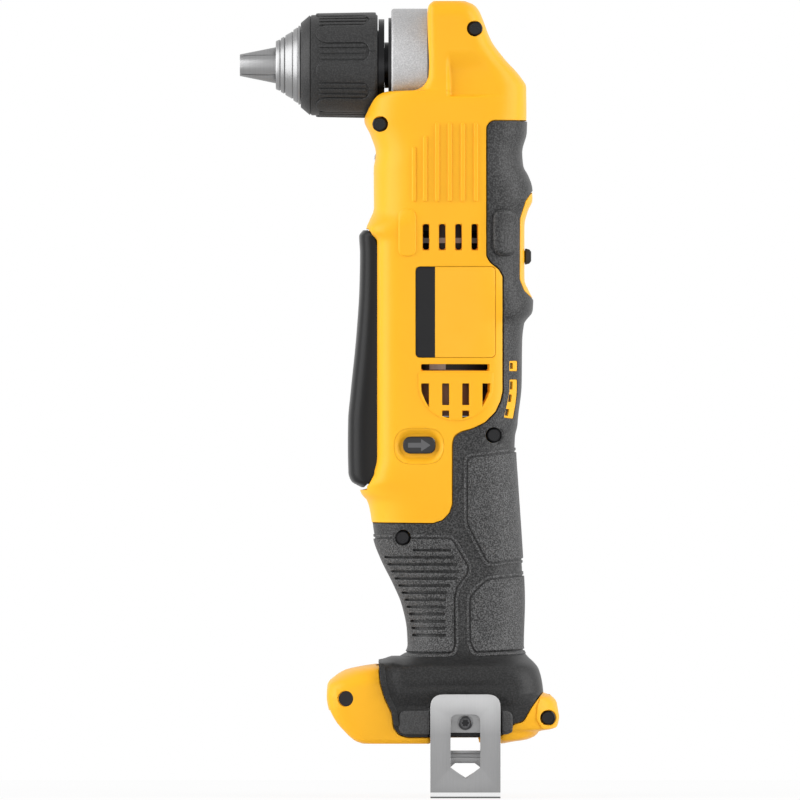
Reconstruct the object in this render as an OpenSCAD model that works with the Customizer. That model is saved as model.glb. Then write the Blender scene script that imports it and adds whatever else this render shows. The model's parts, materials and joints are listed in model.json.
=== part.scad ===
// Right angle drill, in millimetres. +Z runs up the handle to the head and the chuck points along -X.
// The origin is the middle of the hand grip, on the motor axis.

/* [Head] */
// Height of the spindle axis above the middle of the grip
spindle_z = 181; // [180:0.5:186]
// Height of the head above the spindle axis
head_rise = 21.8; // [21.4:0.2:24]
// Half width of the head
head_w = 22; // [21.8:0.1:24]
// Front face of the head, ahead of the motor axis
head_face = 6.8; // [6.7:0.1:7.2]
// Radius of the bare collar
collar_r = 19.5; // [19.2:0.1:19.8]
// Length of the bare collar
collar_len = 12.4; // [12.2:0.1:14]

/* [Body] */
// Depth of the barrel ahead of the motor axis
barrel_front = 24.2; // [24:0.1:24.6]
// Depth of the barrel behind the motor axis
barrel_back = 25.7; // [25.5:0.1:27]
// Half width of the barrel
barrel_w = 24.5; // [24:0.1:26]
// Depth of the thin end of the grip ahead of the motor axis
grip_front = 13.3; // [12.5:0.1:14]
// Depth of the grip behind the motor axis
grip_back = 26.4; // [26:0.1:27]
// Half width of the grip
grip_w = 18.6; // [18:0.1:20]
// Depth of the foot below the middle of the grip
foot_drop = 52.4; // [52:0.1:54]
// Reach of the foot ahead of the motor axis
foot_nose = 41.4; // [40:0.1:43]
// Reach of the foot behind the motor axis
foot_tail = 38; // [37.5:0.1:39]
// Half width of the foot
foot_w = 31; // [30.5:0.1:33]
// Thickness of the housing with its rubber
wall = 3.2; // [3:0.1:3.3]
// Thickness of the rubber let into it
rubber = 1.5; // [1.2:0.1:1.6]
// Thickness of the label plates
label_t = 0.8; // [0.6:0.1:1]

/* [Chuck] */
// Radius of the sleeve at its widest
chuck_r = 18.3; // [18:0.1:19]
// Length of the sleeve
sleeve_len = 26.5; // [26:0.1:28]
// Length of the bare nose ahead of the sleeve
nose_len = 8.5; // [8:0.1:9]
// Length of jaw that stands out of the nose
jaw_reach = 12.4; // [11:0.1:13]
// Radius of a jaw rod
jaw_r = 3.4; // [3.2:0.1:3.5]
// Slope of the jaw rods against the spindle axis
jaw_tilt = 13.2; // [13:0.1:13.4]
// Radius of the smallest bit the jaws hold
bit_r = 0.75; // [0.6:0.05:1]

/* [Gears] */
// Module of the bevel pair
bevel_module = 1; // [0.95:0.01:1]
// Thickness of the ring gears behind their teeth
ring_rim = 1.604; // [1.5:0.002:1.8]
// Play taken off each flank of a gear tooth
flank_play = 0.09; // [0.08:0.01:0.12]
// Outer radius of the gearbox case
box_r = 18.4; // [18.2:0.1:18.8]

/* [Motor] */
// Radius of the motor can
can_r = 18.6; // [18.4:0.1:18.8]
// Length of the motor can
can_len = 50; // [49.5:0.1:51]
// Length of the brush holder below the can
brush_len = 16; // [15.5:0.1:17]
// Radius of the motor shaft
shaft_r = 1.6; // [1.5:0.05:1.7]
// Radius of the armature core
core_r = 14.4; // [14:0.1:14.7]

/* [Trigger and switch] */
// Half width of the trigger paddle
paddle_w = 14.7; // [14:0.1:15]
// Height of the pivot pin
pivot_z = 118.5; // [118:0.1:119]
// Height of the switch plunger
plunger_z = 40; // [38:0.1:40.5]
// Travel of the plunger
plunger_travel = 4.8; // [4:0.1:4.8]
// Travel of the speed selector
selector_travel = 5; // [4:0.1:5]

/* [Foot and hook] */
// Thickness of the foot's walls beside the battery bay
foot_wall = 4.5; // [4.2:0.1:5]
// Height of the battery bay
bay_h = 11.4; // [10.5:0.1:11.6]
// Middle of the hook behind the motor axis
hook_x = 6.2; // [5.5:0.1:7]
// Width of the hook
hook_w = 24; // [22:0.1:25]
// Gap between the legs of the hook
hook_gap = 12; // [10:0.1:14]
// Thickness of the hook
hook_t = 1.6; // [1.4:0.1:2]
// Depth of the hook below the foot
hook_drop = 18.4; // [17:0.1:22]

/* [Fits] */
// Gap between pieces that move past each other
clear = 0.3; // [0.25:0.05:0.35]
// Gap between pieces that sit in each other
seat = 0.1; // [0.1:0.01:0.15]

/* [Hidden] */
$fn = 48;
yellow = "#f7b21c";
black = "#39393b";
steel = "#b9bcc0";

z_top = spindle_z + head_rise;
foot_z = -foot_drop;
box_top = spindle_z - 29;
box_bottom = box_top - 24;
plate_t = 2;
can_top = box_bottom - plate_t;
can_bottom = can_top - can_len;
brush_bottom = can_bottom - brush_len;
switch_top = 46;
switch_bottom = 24;
fan_z = can_top - 9;
knob_z = can_top - 11;
paddle_top = can_top - 2;
paddle_bottom = 35.5;
bay_z = foot_z + bay_h;
bay_w = foot_w - foot_wall;
deck_z = bay_z + 3;
hook_z = foot_z + 7.2;
hook_y = foot_w - 0.6;

seal_t = 1;
chuck_gap = 1.4;
chuck_x = -head_face - collar_len - seal_t - chuck_gap;
ring_len = 2;
sleeve_s = ring_len + clear;
nose_s = sleeve_s + sleeve_len + seat;
face_s = nose_s + nose_len;
tip_s = face_s + jaw_reach;
tip_r = 3.8;
jaw_len = 22;
pin_r = 1.2;
ear_r = 2.6;
pin_x = -can_r - 1.8;

gear_teeth = 28;
pinion_teeth = 14;
gear_cone = atan(gear_teeth / pinion_teeth);
cone_len = bevel_module * gear_teeth / 2 / sin(gear_cone);
cone_face = 5;
ring_teeth = 42;
planet_module = (box_r - 1.5 - 2 * seat - ring_rim) / (ring_teeth / 2 + 1.2);
sun1_teeth = 12;
planet1_teeth = 15;
sun2_teeth = 18;
planet2_teeth = 12;
planet_pin = 1.5;
stage1_z = box_bottom + 0.7;
stage1_len = 5.8;
arm1_z = stage1_z + stage1_len + clear;
arm_t = 2.4;
stage2_z = arm1_z + arm_t + 0.4;
stage2_len = 6.2;
arm2_z = stage2_z + stage2_len + 0.4;
slider_x = max(can_r, box_r) + 2;
groove_z = stage2_z + 2.2;
drum_r = 17.5;
drum_bore = 15.8;

// Side outline of the body, as [height, place] along the front and the back
front_line = [
    [foot_z, -foot_nose + 11.4], [foot_z + 2.4, -foot_nose + 8.4], [foot_z + 12.7, -foot_nose + 1],
    [foot_z + 16.2, -foot_nose], [foot_z + 20, -foot_nose + 0.2], [foot_z + 22.7, -foot_nose + 2.8],
    [foot_z + 24.8, -foot_nose + 6.2], [foot_z + 26.2, -foot_nose + 12.1], [foot_z + 27.4, -grip_front - 8.4],
    [foot_z + 28.8, -grip_front - 5.2], [foot_z + 30.7, -grip_front - 1.3], [foot_z + 33.1, -grip_front],
    [-14, -grip_front - 0.2], [-5, -grip_front - 2], [2.4, -grip_front - 5.1], [10.4, -barrel_front + 1.8],
    [17.3, -barrel_front - 0.8], [27.6, -barrel_front - 2.4], [31, -barrel_front - 3.4],
    [33, -barrel_front - 5.2], [34.8, -barrel_front - 5.8], [40, -barrel_front - 1.4], [46, -barrel_front],
    [paddle_top - 4, -barrel_front], [paddle_top + 0.6, -barrel_front - 3.6], [paddle_top + 3.5, -barrel_front - 2.5],
    [paddle_top + 7.6, -barrel_front - 1], [box_top - 7, -barrel_front - 1.1], [box_top - 1.6, -barrel_front - 0.3],
    [box_top + 4.7, -barrel_front - 2.1], [box_top + 10.2, -barrel_front - 4.4],
    [box_top + 13, -barrel_front - 3.8], [box_top + 17.5, -barrel_front - 2.4], [spindle_z - 9.8, -barrel_front - 0.2],
    [spindle_z - 9.2, -20.4], [spindle_z - 8.9, -12.3], [spindle_z - 7.8, -head_face - 2.4],
    [spindle_z - 6.1, -head_face - 0.7], [spindle_z - 3.8, -head_face], [z_top - 4, -head_face],
    [z_top - 1.5, -head_face + 0.4], [z_top, -head_face + 2]];
back_line = [
    [foot_z, foot_tail - 18], [foot_z + 0.7, foot_tail - 12.4], [foot_z + 2.4, foot_tail - 6.4],
    [foot_z + 4.6, foot_tail - 4], [foot_z + 6, foot_tail - 1.4], [foot_z + 9.3, foot_tail],
    [foot_z + 13.4, foot_tail - 1], [foot_z + 15.8, foot_tail - 3.2], [foot_z + 17.4, foot_tail - 5.2],
    [foot_z + 20.3, foot_tail - 5.4], [foot_z + 25.1, foot_tail - 6.6], [foot_z + 29.6, grip_back + 1.5],
    [foot_z + 33.1, grip_back - 0.2], [-3.5, grip_back + 0.2], [10.4, grip_back - 0.4], [38, grip_back - 2.2],
    [48.3, barrel_back - 2.1], [58.7, barrel_back - 1.5], [70.7, barrel_back - 0.2], [can_bottom + 10, barrel_back],
    [can_bottom + 16, barrel_back + 0.7], [can_bottom + 20.3, barrel_back + 3.6],
    [can_bottom + 24, barrel_back + 3.8], [can_bottom + 27, barrel_back + 2.6], [can_bottom + 31, barrel_back + 1],
    [can_top - 0.5, barrel_back + 1], [can_top + 5, barrel_back + 2.3], [can_top + 8.5, barrel_back + 3.8],
    [can_top + 13, barrel_back + 3.4], [can_top + 17, barrel_back + 2], [box_top - 6, barrel_back + 0.4],
    [box_top - 1, barrel_back], [box_top + 6, barrel_back + 1.6], [box_top + 12, barrel_back + 1.7],
    [spindle_z - 7.7, barrel_back + 1.6], [spindle_z - 4, barrel_back - 0.5], [spindle_z + 2.2, 19.7],
    [spindle_z + 8.4, 15.2], [spindle_z + 16, 12.2], [z_top - 3.5, 11.2], [z_top - 1.2, 9.4], [z_top, 6.6]];
side_line = [
    [foot_z, foot_w - 0.8], [foot_z + 1.5, foot_w], [foot_z + 20, foot_w], [foot_z + 26, foot_w - 2.4],
    [foot_z + 29, grip_w + 5], [foot_z + 33, grip_w + 1.2], [foot_z + 39, grip_w], [2, grip_w],
    [14, grip_w + 1.4], [32, barrel_w - 1.4], [50, barrel_w], [box_top - 2, barrel_w],
    [spindle_z - 14, head_w + 1.6], [spindle_z - 4, head_w + 0.2], [spindle_z, head_w], [z_top - 5, head_w],
    [z_top - 2.2, head_w - 1], [z_top - 0.8, head_w - 2.4], [z_top, head_w - 4]];
round_line = [
    [foot_z, 6], [foot_z + 24, 5], [foot_z + 33, 2.7], [10, 2.6], [40, 2.9], [60, 3.1], [box_top, 3.1],
    [spindle_z - 10, 4], [z_top, 4]];
nose_line = concat([[foot_z, 14], [foot_z + 16, 12], [foot_z + 25, 5], [foot_z + 33, 2.7], [10, 2.6]],
    [[paddle_bottom - 1.5, 2.9], [paddle_bottom + 6.5, 6.5], [paddle_top - 8, 6.5], [paddle_top + 2, 3.3],
    [box_top, 3.1], [spindle_z - 10, 4], [spindle_z - 6, 9], [z_top, 9]]);

function steps(a, b, n) = [for (i = [0:n - 1]) a + (b - a) * i / n];
levels = concat(
    steps(foot_z, foot_z + 15, 5), steps(foot_z + 15, foot_z + 33, 8), steps(foot_z + 33, 30, 5),
    steps(30, 36, 3), steps(36, can_bottom + 12, 4), steps(can_bottom + 12, box_top - 4, 11),
    steps(box_top - 4, spindle_z - 10, 5), steps(spindle_z - 10, spindle_z - 3, 5),
    steps(spindle_z - 3, z_top - 4, 4), steps(z_top - 4, z_top, 3), [z_top]);

// A smooth curve through the points that never swings past them
function rise(p, i) = (p[i + 1][1] - p[i][1]) / (p[i + 1][0] - p[i][0]);
function lean(p, i) =
    i == 0 ? rise(p, 0) : i == len(p) - 1 ? rise(p, i - 1)
    : rise(p, i - 1) * rise(p, i) <= 0 ? 0
    : 2 * rise(p, i - 1) * rise(p, i) / (rise(p, i - 1) + rise(p, i));
function span(p, z, i = 0) = i >= len(p) - 2 || z <= p[i + 1][0] ? i : span(p, z, i + 1);
function along(p, z0) =
    let (z = max(p[0][0], min(p[len(p) - 1][0], z0)), i = span(p, z), h = p[i + 1][0] - p[i][0],
        t = (z - p[i][0]) / h, u = 1 - t)
    u * u * (1 + 2 * t) * p[i][1] + t * t * (3 - 2 * t) * p[i + 1][1]
        + h * t * u * (u * lean(p, i) - t * lean(p, i + 1));

// The same curve moved in by d, square to itself
bend = [-1, -0.7, 0, 0.7, 1];
function inner_min(p, z, d) = d == 0 ? along(p, z) : max([for (k = bend) along(p, z + k * d) + d * sqrt(1 - k * k)]);
function inner_max(p, z, d) = d == 0 ? along(p, z) : min([for (k = bend) along(p, z + k * d) - d * sqrt(1 - k * k)]);

function bulge(c, n) = sign(c) * pow(abs(c), 2 / n);
function ring(z, d, sides) =
    let (f = inner_min(front_line, z, d), b = inner_max(back_line, z, d), w = inner_max(side_line, z, d),
        back = along(round_line, z), front = along(nose_line, z))
    [for (i = [0:sides - 1]) let (t = 360 * (i + 0.5) / sides, n = cos(t) < 0 ? front : back)
        [(f + b) / 2 + (b - f) / 2 * bulge(cos(t), n), w * bulge(sin(t), n), z]];
function side_y(x, z) =
    let (f = along(front_line, z), b = along(back_line, z), q = (2 * x - f - b) / (b - f),
        n = along(q < 0 ? nose_line : round_line, z))
    along(side_line, z) * pow(1 - pow(abs(q), n), 1 / n);

module loft(rings) {
    n = len(rings[0]);
    m = len(rings);
    polyhedron(
        points = [for (r = rings) each r],
        faces = concat(
            [[for (j = [0:n - 1]) j], [for (j = [n - 1:-1:0]) (m - 1) * n + j]],
            [for (i = [0:m - 2]) for (j = [0:n - 1]) [i * n + j, i * n + n + j, i * n + n + (j + 1) % n]],
            [for (i = [0:m - 2]) for (j = [0:n - 1]) [i * n + j, i * n + n + (j + 1) % n, i * n + (j + 1) % n]]));
}

module body_form(d) {
    loft([for (z = concat([for (z = levels) if (z < z_top - d - 0.5) z], [z_top - d])) ring(z, d, 20)]);
}

// The stretch of the same form that holds the label
module label_form(d) {
    loft([for (z = levels) if (z > can_bottom - 12 && z < can_bottom + 48) ring(z, d, 20)]);
}

module half(side) {
    intersection() {
        children();
        translate([-150, side < 0 ? -100 : 0, -150])
            cube([300, 100, 450]);
    }
}

// A flat shape drawn in X and Z, carried right through the body along Y
module through(depth = 160) {
    rotate([90, 0, 0])
        linear_extrude(height = depth, center = true)
            children();
}

module bar_y(x, z, y0, y1, r) {
    translate([x, y1, z])
        rotate([90, 0, 0])
            cylinder(r = r, h = y1 - y0);
}

module bar_x(x0, x1, r, z = spindle_z, r2 = -1) {
    translate([x0, 0, z])
        rotate([0, 90, 0])
            cylinder(r1 = r, r2 = r2 < 0 ? r : r2, h = x1 - x0);
}

// Round the Z axis of the chuck, which points along -X from its rear face
module at_chuck() {
    translate([chuck_x, 0, spindle_z])
        rotate([0, -90, 0])
            children();
}

module tube(r1, r0, z0, z1) {
    translate([0, 0, z0])
        rotate_extrude()
            translate([r0, 0])
                square([r1 - r0, z1 - z0]);
}

// An upright slot right through both sides
module slot(x, z, w, h, r = 0.6) {
    hull() {
        for (i = [-1, 1]) {
            bar_y(x + i * (w / 2 - r), z - h / 2 + r, -60, 60, r, $fn = 4);
            bar_y(x + i * (w / 2 - r), z + h / 2 - r, -60, 60, r, $fn = 4);
        }
    }
}

module rounded(w, h, r) {
    hull()
        for (i = [-1, 1], j = [-1, 1])
            translate([i * (w / 2 - r), j * (h / 2 - r)])
                circle(r = r, $fn = 20);
}

// Edge of the rubber: down the back, over the grip and round the foot
spine_x = 13.8;
rubber_edge = [
    [90, box_top + 9.4], [spine_x + 1.6, box_top + 9.4], [spine_x, box_top + 7.6], [spine_x, can_bottom + 39],
    [spine_x + 1.2, can_bottom + 37], [spine_x + 4.2, can_bottom + 34.6], [spine_x + 5.6, can_bottom + 32],
    [spine_x + 5.6, 68.6], [spine_x + 4.8, 65], [spine_x + 3, 61.2], [spine_x - 0.6, 57.6], [spine_x - 4.8, 55.6],
    [spine_x - 9, 54.4], [spine_x - 11.2, 53], [spine_x - 11.8, 50.4], [spine_x - 11.8, 29.6],
    [spine_x - 12.8, 26.6], [spine_x - 15.2, 24], [spine_x - 18.6, 22.9], [-90, 23.6], [-90, foot_z + 28.2],
    [-22.4, foot_z + 28.2], [-23.2, foot_z + 25], [-22.8, foot_z + 20.6], [-21.2, foot_z + 15.4], [-18.8, foot_z + 10.4],
    [-18.2, foot_z + 5.4], [-16.4, foot_z + 3.2], [-13.6, foot_z + 2.3], [17, foot_z + 2.3], [19.4, foot_z + 3.6],
    [22.8, foot_z + 6.9], [26, foot_z + 7.8], [28.6, foot_z + 12.4], [32.4, foot_z + 17.7], [90, foot_z + 17.7]];
// The bare scoop that the selector slides in, seen from the side
scoop_edge = [
    [90, can_top + 12.4], [barrel_back + 4, can_top + 12.4], [barrel_back + 1, can_top + 8],
    [barrel_back - 0.9, can_top + 2], [barrel_back - 1, can_bottom + 31], [barrel_back + 0.6, can_bottom + 27],
    [barrel_back + 4.2, can_bottom + 23.6], [90, can_bottom + 23.6]];

module rubber_zone() {
    difference() {
        polygon(rubber_edge);
        polygon(scoop_edge);
        translate([22.6, can_bottom + 1.4])
            square([4.4, 3.4], center = true);
        translate([22.2, brush_bottom + 6])
            square([4.2, 13], center = true);
    }
}

label_mid = [2.9, can_bottom + 19.8];
label_size = [27.6, 31.2];
button_mid = [-9.6, 50];
button_size = [11.2, 5.8];
screws = [
    [9.5, spindle_z + 12.2], [-23, spindle_z - 20.6], [16, 53.5], [-15.2, 18.2], [34.5, foot_z + 8.8],
    [-35, foot_z + 15.5]];
screw_depth = 2.2;
screw_head = 2.5;

paddle_front = [
    [paddle_bottom, -29.6], [paddle_bottom + 2.1, -33], [paddle_bottom + 5, -34], [50, -34.2], [58.7, -34.1],
    [67.6, -33.3], [88.7, -31.2], [104.5, -30.2], [116, -30], [paddle_top - 2, -30.3], [paddle_top, -29]];
paddle_back = [
    [-27.2, paddle_top], [-24.6, paddle_top - 3.6], [-23.2, 110], [-23.2, 58.7], [-23.6, 45.5], [-25, 40.4],
    [-26.6, paddle_bottom + 2], [-28.6, paddle_bottom]];

// Front of the housing taken away for the paddle, with a lip above and below it
paddle_gate = [
    [-60, paddle_top + 0.5], [-27, paddle_top + 0.5], [-24.7, paddle_top - 3.2], [-24.6, paddle_top - 10],
    [-24.6, 50], [-24.7, 46], [-25, 40.2], [-26.5, paddle_bottom + 1.6], [-28.2, paddle_bottom - 0.5],
    [-60, paddle_bottom - 0.5]];

module paddle_side() {
    polygon(concat(paddle_back, [for (z = steps(paddle_bottom, paddle_top, 13)) [along(paddle_front, z), z]],
        [[along(paddle_front, paddle_top), paddle_top]]));
}

module grille() {
    for (i = [0:3]) {
        slot(-7.3 + 5.6 * i, can_top - 4.4, 2.1, 8.8);
        slot(-7.6 + 7 * i, brush_bottom + (i % 3 == 0 ? 7.6 : 7.2), 2.6, i % 3 == 0 ? 7.8 : 8.6);
    }
    slot(2.8, can_bottom + 0.9, 23.4, 2.4);
    for (i = [1, 2])
        slot(-7.6 + 7 * i, brush_bottom + 0.6, 2.6, 2.6);
    slot(21.6, can_bottom + 1.4, 1.6, 2, 0.5);
    for (i = [0:2])
        slot(21.2, brush_bottom + 2.4 + 3.6 * i, 1.8, 2.4, 0.5);
}

module post(r, z0, z1) {
    translate([0, 0, z0])
        cylinder(r = r, h = z1 - z0, $fn = 36);
}

module room(x0, x1, w, z0, z1) {
    translate([x0, -w, z0])
        cube([x1 - x0, 2 * w, z1 - z0]);
}

// Room for the works: bores with ribs for motor and gearbox, then the switch and the leads
module cavity() {
    post(can_r + clear, brush_bottom - 2, can_top + 1);
    post(can_r + 1.8, brush_bottom - 2, can_bottom + 6);
    post(can_r + 1.8, can_bottom + 8, can_top - 12);
    post(max(can_r, box_r) + 1.8, can_top - 10, box_bottom + 3);
    post(box_r + clear, box_bottom, box_top + 3);
    post(box_r + 1.2, box_bottom + 5, box_top - 3);
    post(12.5 + clear, box_top, spindle_z);
    bar_x(-head_face - 1, 6, drum_r + clear, $fn = 40);
    bar_x(5, 12, 8 + clear, $fn = 32);
    room(can_r - 3, slider_x + 2 + clear, 6.6, knob_z - 8.5, knob_z + 8 + selector_travel + 0.5);
    room(can_r - 3, slider_x + 2 + clear, 2.4, knob_z, groove_z + selector_travel + 3);
    room(-19.5, 11.5, 13.5, switch_top - 4, brush_bottom - 1);
    room(-24.5, 11.5, 10.5 + clear, switch_bottom - clear, switch_top - 3);
    room(-8.5, 20, 11, deck_z + 1, 0.5);
    room(-12, 20, 11.5, 0, 13.5);
    room(-8, 20, 11.5, 13, switch_bottom + 1);
    room(-20, 14, 17, deck_z, deck_z + 6);
}

module selector_slot() {
    translate([barrel_back - 6, -2.2 - clear, knob_z - 2 - clear])
        cube([20, 4.4 + 2 * clear, 4 + selector_travel + 2 * clear]);
}

module housing(side) {
    color(yellow)
    difference() {
        half(side)
            body_form(0);
        difference() {
            through()
                rubber_zone();
            body_form(rubber);
        }
        difference() {
            through()
                translate(label_mid)
                    rounded(label_size[0], label_size[1], 1.8);
            body_form(label_t);
        }
        difference() {
            through()
                translate(button_mid)
                    rounded(17.4, 12.8, 6.2);
            body_form(1);
        }
        cavity();
        grille();
        bar_x(-60, 0.6 - head_face, collar_r + clear, $fn = 44);
        through()
            polygon(paddle_gate);
        translate([-60, -paddle_w - clear, paddle_bottom - 0.9])
            cube([60 + pin_x + 1.6, 2 * (paddle_w + clear), paddle_top + 0.5 - paddle_bottom + 0.9]);
        bar_y(pin_x, pivot_z, -17.6 - seat, 17.6 + seat, pin_r + seat, $fn = 16);
        bar_y(pin_x, pivot_z, -paddle_w - clear, paddle_w + clear, ear_r + 2 * clear, $fn = 18);
        through()
            translate(button_mid)
                rounded(button_size[0] + 2 * clear, button_size[1] + 2 * clear, button_size[1] / 2);
        selector_slot();
        bar_x(-40, -18, 2.5 + seat, box_top - 3, $fn = 20);
        for (s = screws) {
            bar_y(s[0], s[1], -60, -side_y(s[0], s[1]) + screw_depth, screw_head + 0.3, $fn = 14);
            bar_y(s[0], s[1], -60, 0.5 * side_y(s[0], s[1]), 1.7, $fn = 8);
        }
        // Battery bay, open downwards and to the front
        translate([-60, -bay_w, foot_z - 1])
            cube([60 + 29, 2 * bay_w, bay_h + 1]);
        translate([-16, -14, bay_z - 1])
            cube([26, 28, 8]);
        for (i = [-1, 1]) {
            translate([hook_x - 5.2, i * 40 - 20, foot_z - 1])
                cube([10.4, 40, 3.1]);
            bar_y(hook_x, hook_z, min(i * 20, i * 45), max(i * 20, i * 45), 2.8 + 2 * seat, $fn = 16);
            translate([hook_x - hook_w / 2 - clear, i > 0 ? hook_y : -hook_y - 10, foot_z - 1])
                cube([hook_w + 2 * clear, 10, 14]);
        }
    }
    // Rails that carry the battery, along the lower edges of the bay
    color(yellow)
    difference() {
        translate([-24, side < 0 ? -bay_w - 0.5 : bay_w - 2.2, foot_z + 0.8])
            cube([53, 2.7, 2.2]);
        translate([hook_x - 5.2, -50, foot_z - 1])
            cube([10.4, 100, 3.1]);
    }
}

module housing_left() {
    housing(-1);
}

module housing_right() {
    housing(1);
}

module grip(side) {
    color(black)
    difference() {
        half(side)
            intersection() {
                body_form(0);
                through()
                    rubber_zone();
            }
        body_form(rubber);
        translate([-60, -60, foot_z - 1])
            cube([8, 120, bay_h]);
        translate([-60, -paddle_w - clear, paddle_bottom - 0.9])
            cube([60 + pin_x + 1.6, 2 * (paddle_w + clear), paddle_top + 0.5 - paddle_bottom + 0.9]);
        for (s = screws)
            bar_y(s[0], s[1], -60, -4, screw_head + 0.3, $fn = 14);
        selector_slot();
        for (i = [-1, 1]) {
            bar_y(hook_x, hook_z, min(i * 20, i * 45), max(i * 20, i * 45), 2.8 + 2 * seat, $fn = 16);
            translate([hook_x - hook_w / 2 - clear, i > 0 ? hook_y : -hook_y - 10, foot_z - 1])
                cube([hook_w + 2 * clear, 10, 14]);
        }
    }
}

module grip_left() {
    grip(-1);
}

module grip_right() {
    grip(1);
}

module label_plate(side) {
    color("#2c2c2e")
    difference() {
        half(side)
            intersection() {
                label_form(0);
                through()
                    translate(label_mid)
                        rounded(label_size[0] - 0.1, label_size[1] - 0.1, 1.8);
            }
        label_form(label_t);
    }
}

module label_plates() {
    label_plate(-1);
    label_plate(1);
}

module housing_screws() {
    color("#4a4a4d")
    for (s = screws) {
        y = -side_y(s[0], s[1]) + screw_depth;
        bar_y(s[0], s[1], y - 1.6, y, screw_head);
        bar_y(s[0], s[1], y - 0.8, -y * 0.45, 1.4);
    }
}

function paddle_ring(z, d) =
    let (f = inner_min(paddle_front, z, d), b = -20)
    [for (i = [0:15]) let (t = 90 + 180 * i / 15)
        [b + (b - f) * bulge(cos(t), 3.4), (paddle_w - d) * bulge(sin(t), 3.4), z]];

module paddle_form(d) {
    loft([for (z = concat(steps(paddle_bottom + d, paddle_top - d, 13), [paddle_top - d])) paddle_ring(z, d)]);
}

module trigger_paddle() {
    color("#2f2f31")
    union() {
        difference() {
            intersection() {
                paddle_form(0);
                through()
                    paddle_side();
            }
            paddle_form(2.4);
        }
        intersection() {
            translate([-40, -3, plunger_z - 4])
                cube([40 + pin_x - 2.4, 6, 8]);
            paddle_form(1);
        }
        difference() {
            for (i = [-1, 1])
                hull() {
                    bar_y(pin_x, pivot_z, i * 12.7 - 1.5, i * 12.7 + 1.5, ear_r, $fn = 20);
                    bar_y(-26.4, pivot_z - 3, i * 12.7 - 1.5, i * 12.7 + 1.5, 2, $fn = 12);
                }
            bar_y(pin_x, pivot_z, -30, 30, pin_r + seat, $fn = 20);
        }
    }
}

module pivot_pin() {
    color(steel)
    bar_y(pin_x, pivot_z, -17.6, 17.6, pin_r);
}

module reversing_button() {
    end_y = side_y(button_mid[0], button_mid[1]) - 0.6;
    color("#2a2a2c")
    translate([button_mid[0], 0, button_mid[1]])
        rotate([90, 0, 0])
            linear_extrude(height = 2 * end_y, center = true)
                union() {
                    square([button_size[0] - button_size[1], button_size[1]], center = true);
                    for (i = [-1, 1])
                        translate([i * (button_size[0] - button_size[1]) / 2, 0])
                            circle(d = button_size[1]);
                }
}

module speed_selector() {
    outer = along(back_line, knob_z) + 0.2;
    color("#2a2a2c")
    union() {
        translate([outer, 0, knob_z])
            rotate([90, 0, 0])
                linear_extrude(height = 12, center = true)
                    polygon([[0, -2.8], [1.5, -2.4], [2.1, -1.6], [2.1, 1.6], [1.5, 2.4], [0, 2.8]]);
        translate([slider_x + 1, -2.2, knob_z - 2])
            cube([outer - slider_x - 0.5, 4.4, 4]);
        translate([slider_x, -6, knob_z - 8])
            cube([2, 12, 16]);
    }
}

module shift_link() {
    color(steel)
    union() {
        translate([slider_x + 0.2, -1.6, knob_z + 8])
            cube([1.2, 3.2, groove_z + 1.3 - knob_z - 8]);
        translate([16.1, -1.6, groove_z + 0.2])
            cube([slider_x - 15.5, 3.2, 1.1]);
    }
}

module led_lamp() {
    tip = along(front_line, box_top - 3) - 0.4;
    color("#e8eef2")
    union() {
        bar_x(tip + 2.5, -19.6, 2.5, box_top - 3);
        translate([tip + 2.5, 0, box_top - 3])
            sphere(r = 2.5);
    }
}

module terminal_block() {
    color("#2c2c2e")
    union() {
        translate([-16 + clear, -14 + clear, bay_z - 2.5])
            cube([26 - 2 * clear, 28 - 2 * clear, 8]);
        translate([-18, -16, deck_z + seat])
            cube([30, 32, 2.4]);
    }
}

module contact_blades() {
    color("#c9a24b")
    for (y = [-9, -3, 3, 9])
        translate([-12, y - 0.4, bay_z - 8])
            cube([14, 0.8, 5.5]);
}

module hook_inserts() {
    color("#c9a24b")
    for (i = [-1, 1])
        difference() {
            bar_y(hook_x, hook_z, min(i * bay_w, i * hook_y), max(i * bay_w, i * hook_y), 2.8);
            bar_y(hook_x, hook_z, -60, 60, 1.55);
        }
}

module belt_hook() {
    low = foot_z - hook_drop;
    r = hook_gap / 2 + hook_t;
    y0 = hook_y + seat;
    color(steel)
    translate([hook_x, -y0, 0])
        difference() {
            union() {
                translate([-hook_w / 2, -hook_t, low + r])
                    cube([hook_w, hook_t, foot_z + 12 - low - r]);
                translate([0, -2 * hook_t - hook_gap, 0])
                    rotate([90, 0, 0])
                        translate([0, 0, -hook_t])
                            linear_extrude(height = hook_t)
                                hook_plate(low + r, foot_z + 17.2);
                translate([-hook_w / 2, -r, low + r])
                    rotate([0, 90, 0])
                        difference() {
                            cylinder(r = r, h = hook_w);
                            translate([0, 0, -1])
                                cylinder(r = hook_gap / 2, h = hook_w + 2);
                            translate([-3 * r, -2 * r, -1])
                                cube([3 * r, 4 * r, hook_w + 2]);
                        }
            }
            translate([0, -2 * hook_t - hook_gap - 1, 0])
                rotate([90, 0, 0])
                    translate([0, 0, -hook_t - 1.5])
                        linear_extrude(height = hook_t + 2)
                            polygon([
                                [-5.1, foot_z + 9], [-4, foot_z + 10.1], [4, foot_z + 10.1], [5.1, foot_z + 9],
                                [5.1, foot_z - 8], [0, foot_z - 11.8], [-5.1, foot_z - 8]]);
            translate([-5.1, -hook_t - 1, foot_z - 2.3])
                cube([10.2, hook_t + 2, 4]);
            translate([0, 1, 0])
                rotate([90, 0, 0])
                    linear_extrude(height = hook_t + 2)
                        polygon([
                            [-5.1, foot_z - 6.7], [5.1, foot_z - 6.7], [5.1, foot_z - 8], [0, foot_z - 11.8],
                            [-5.1, foot_z - 8]]);
            bar_y(0, hook_z, -hook_t - 1, 1, 1.7);
        }
}

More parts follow.
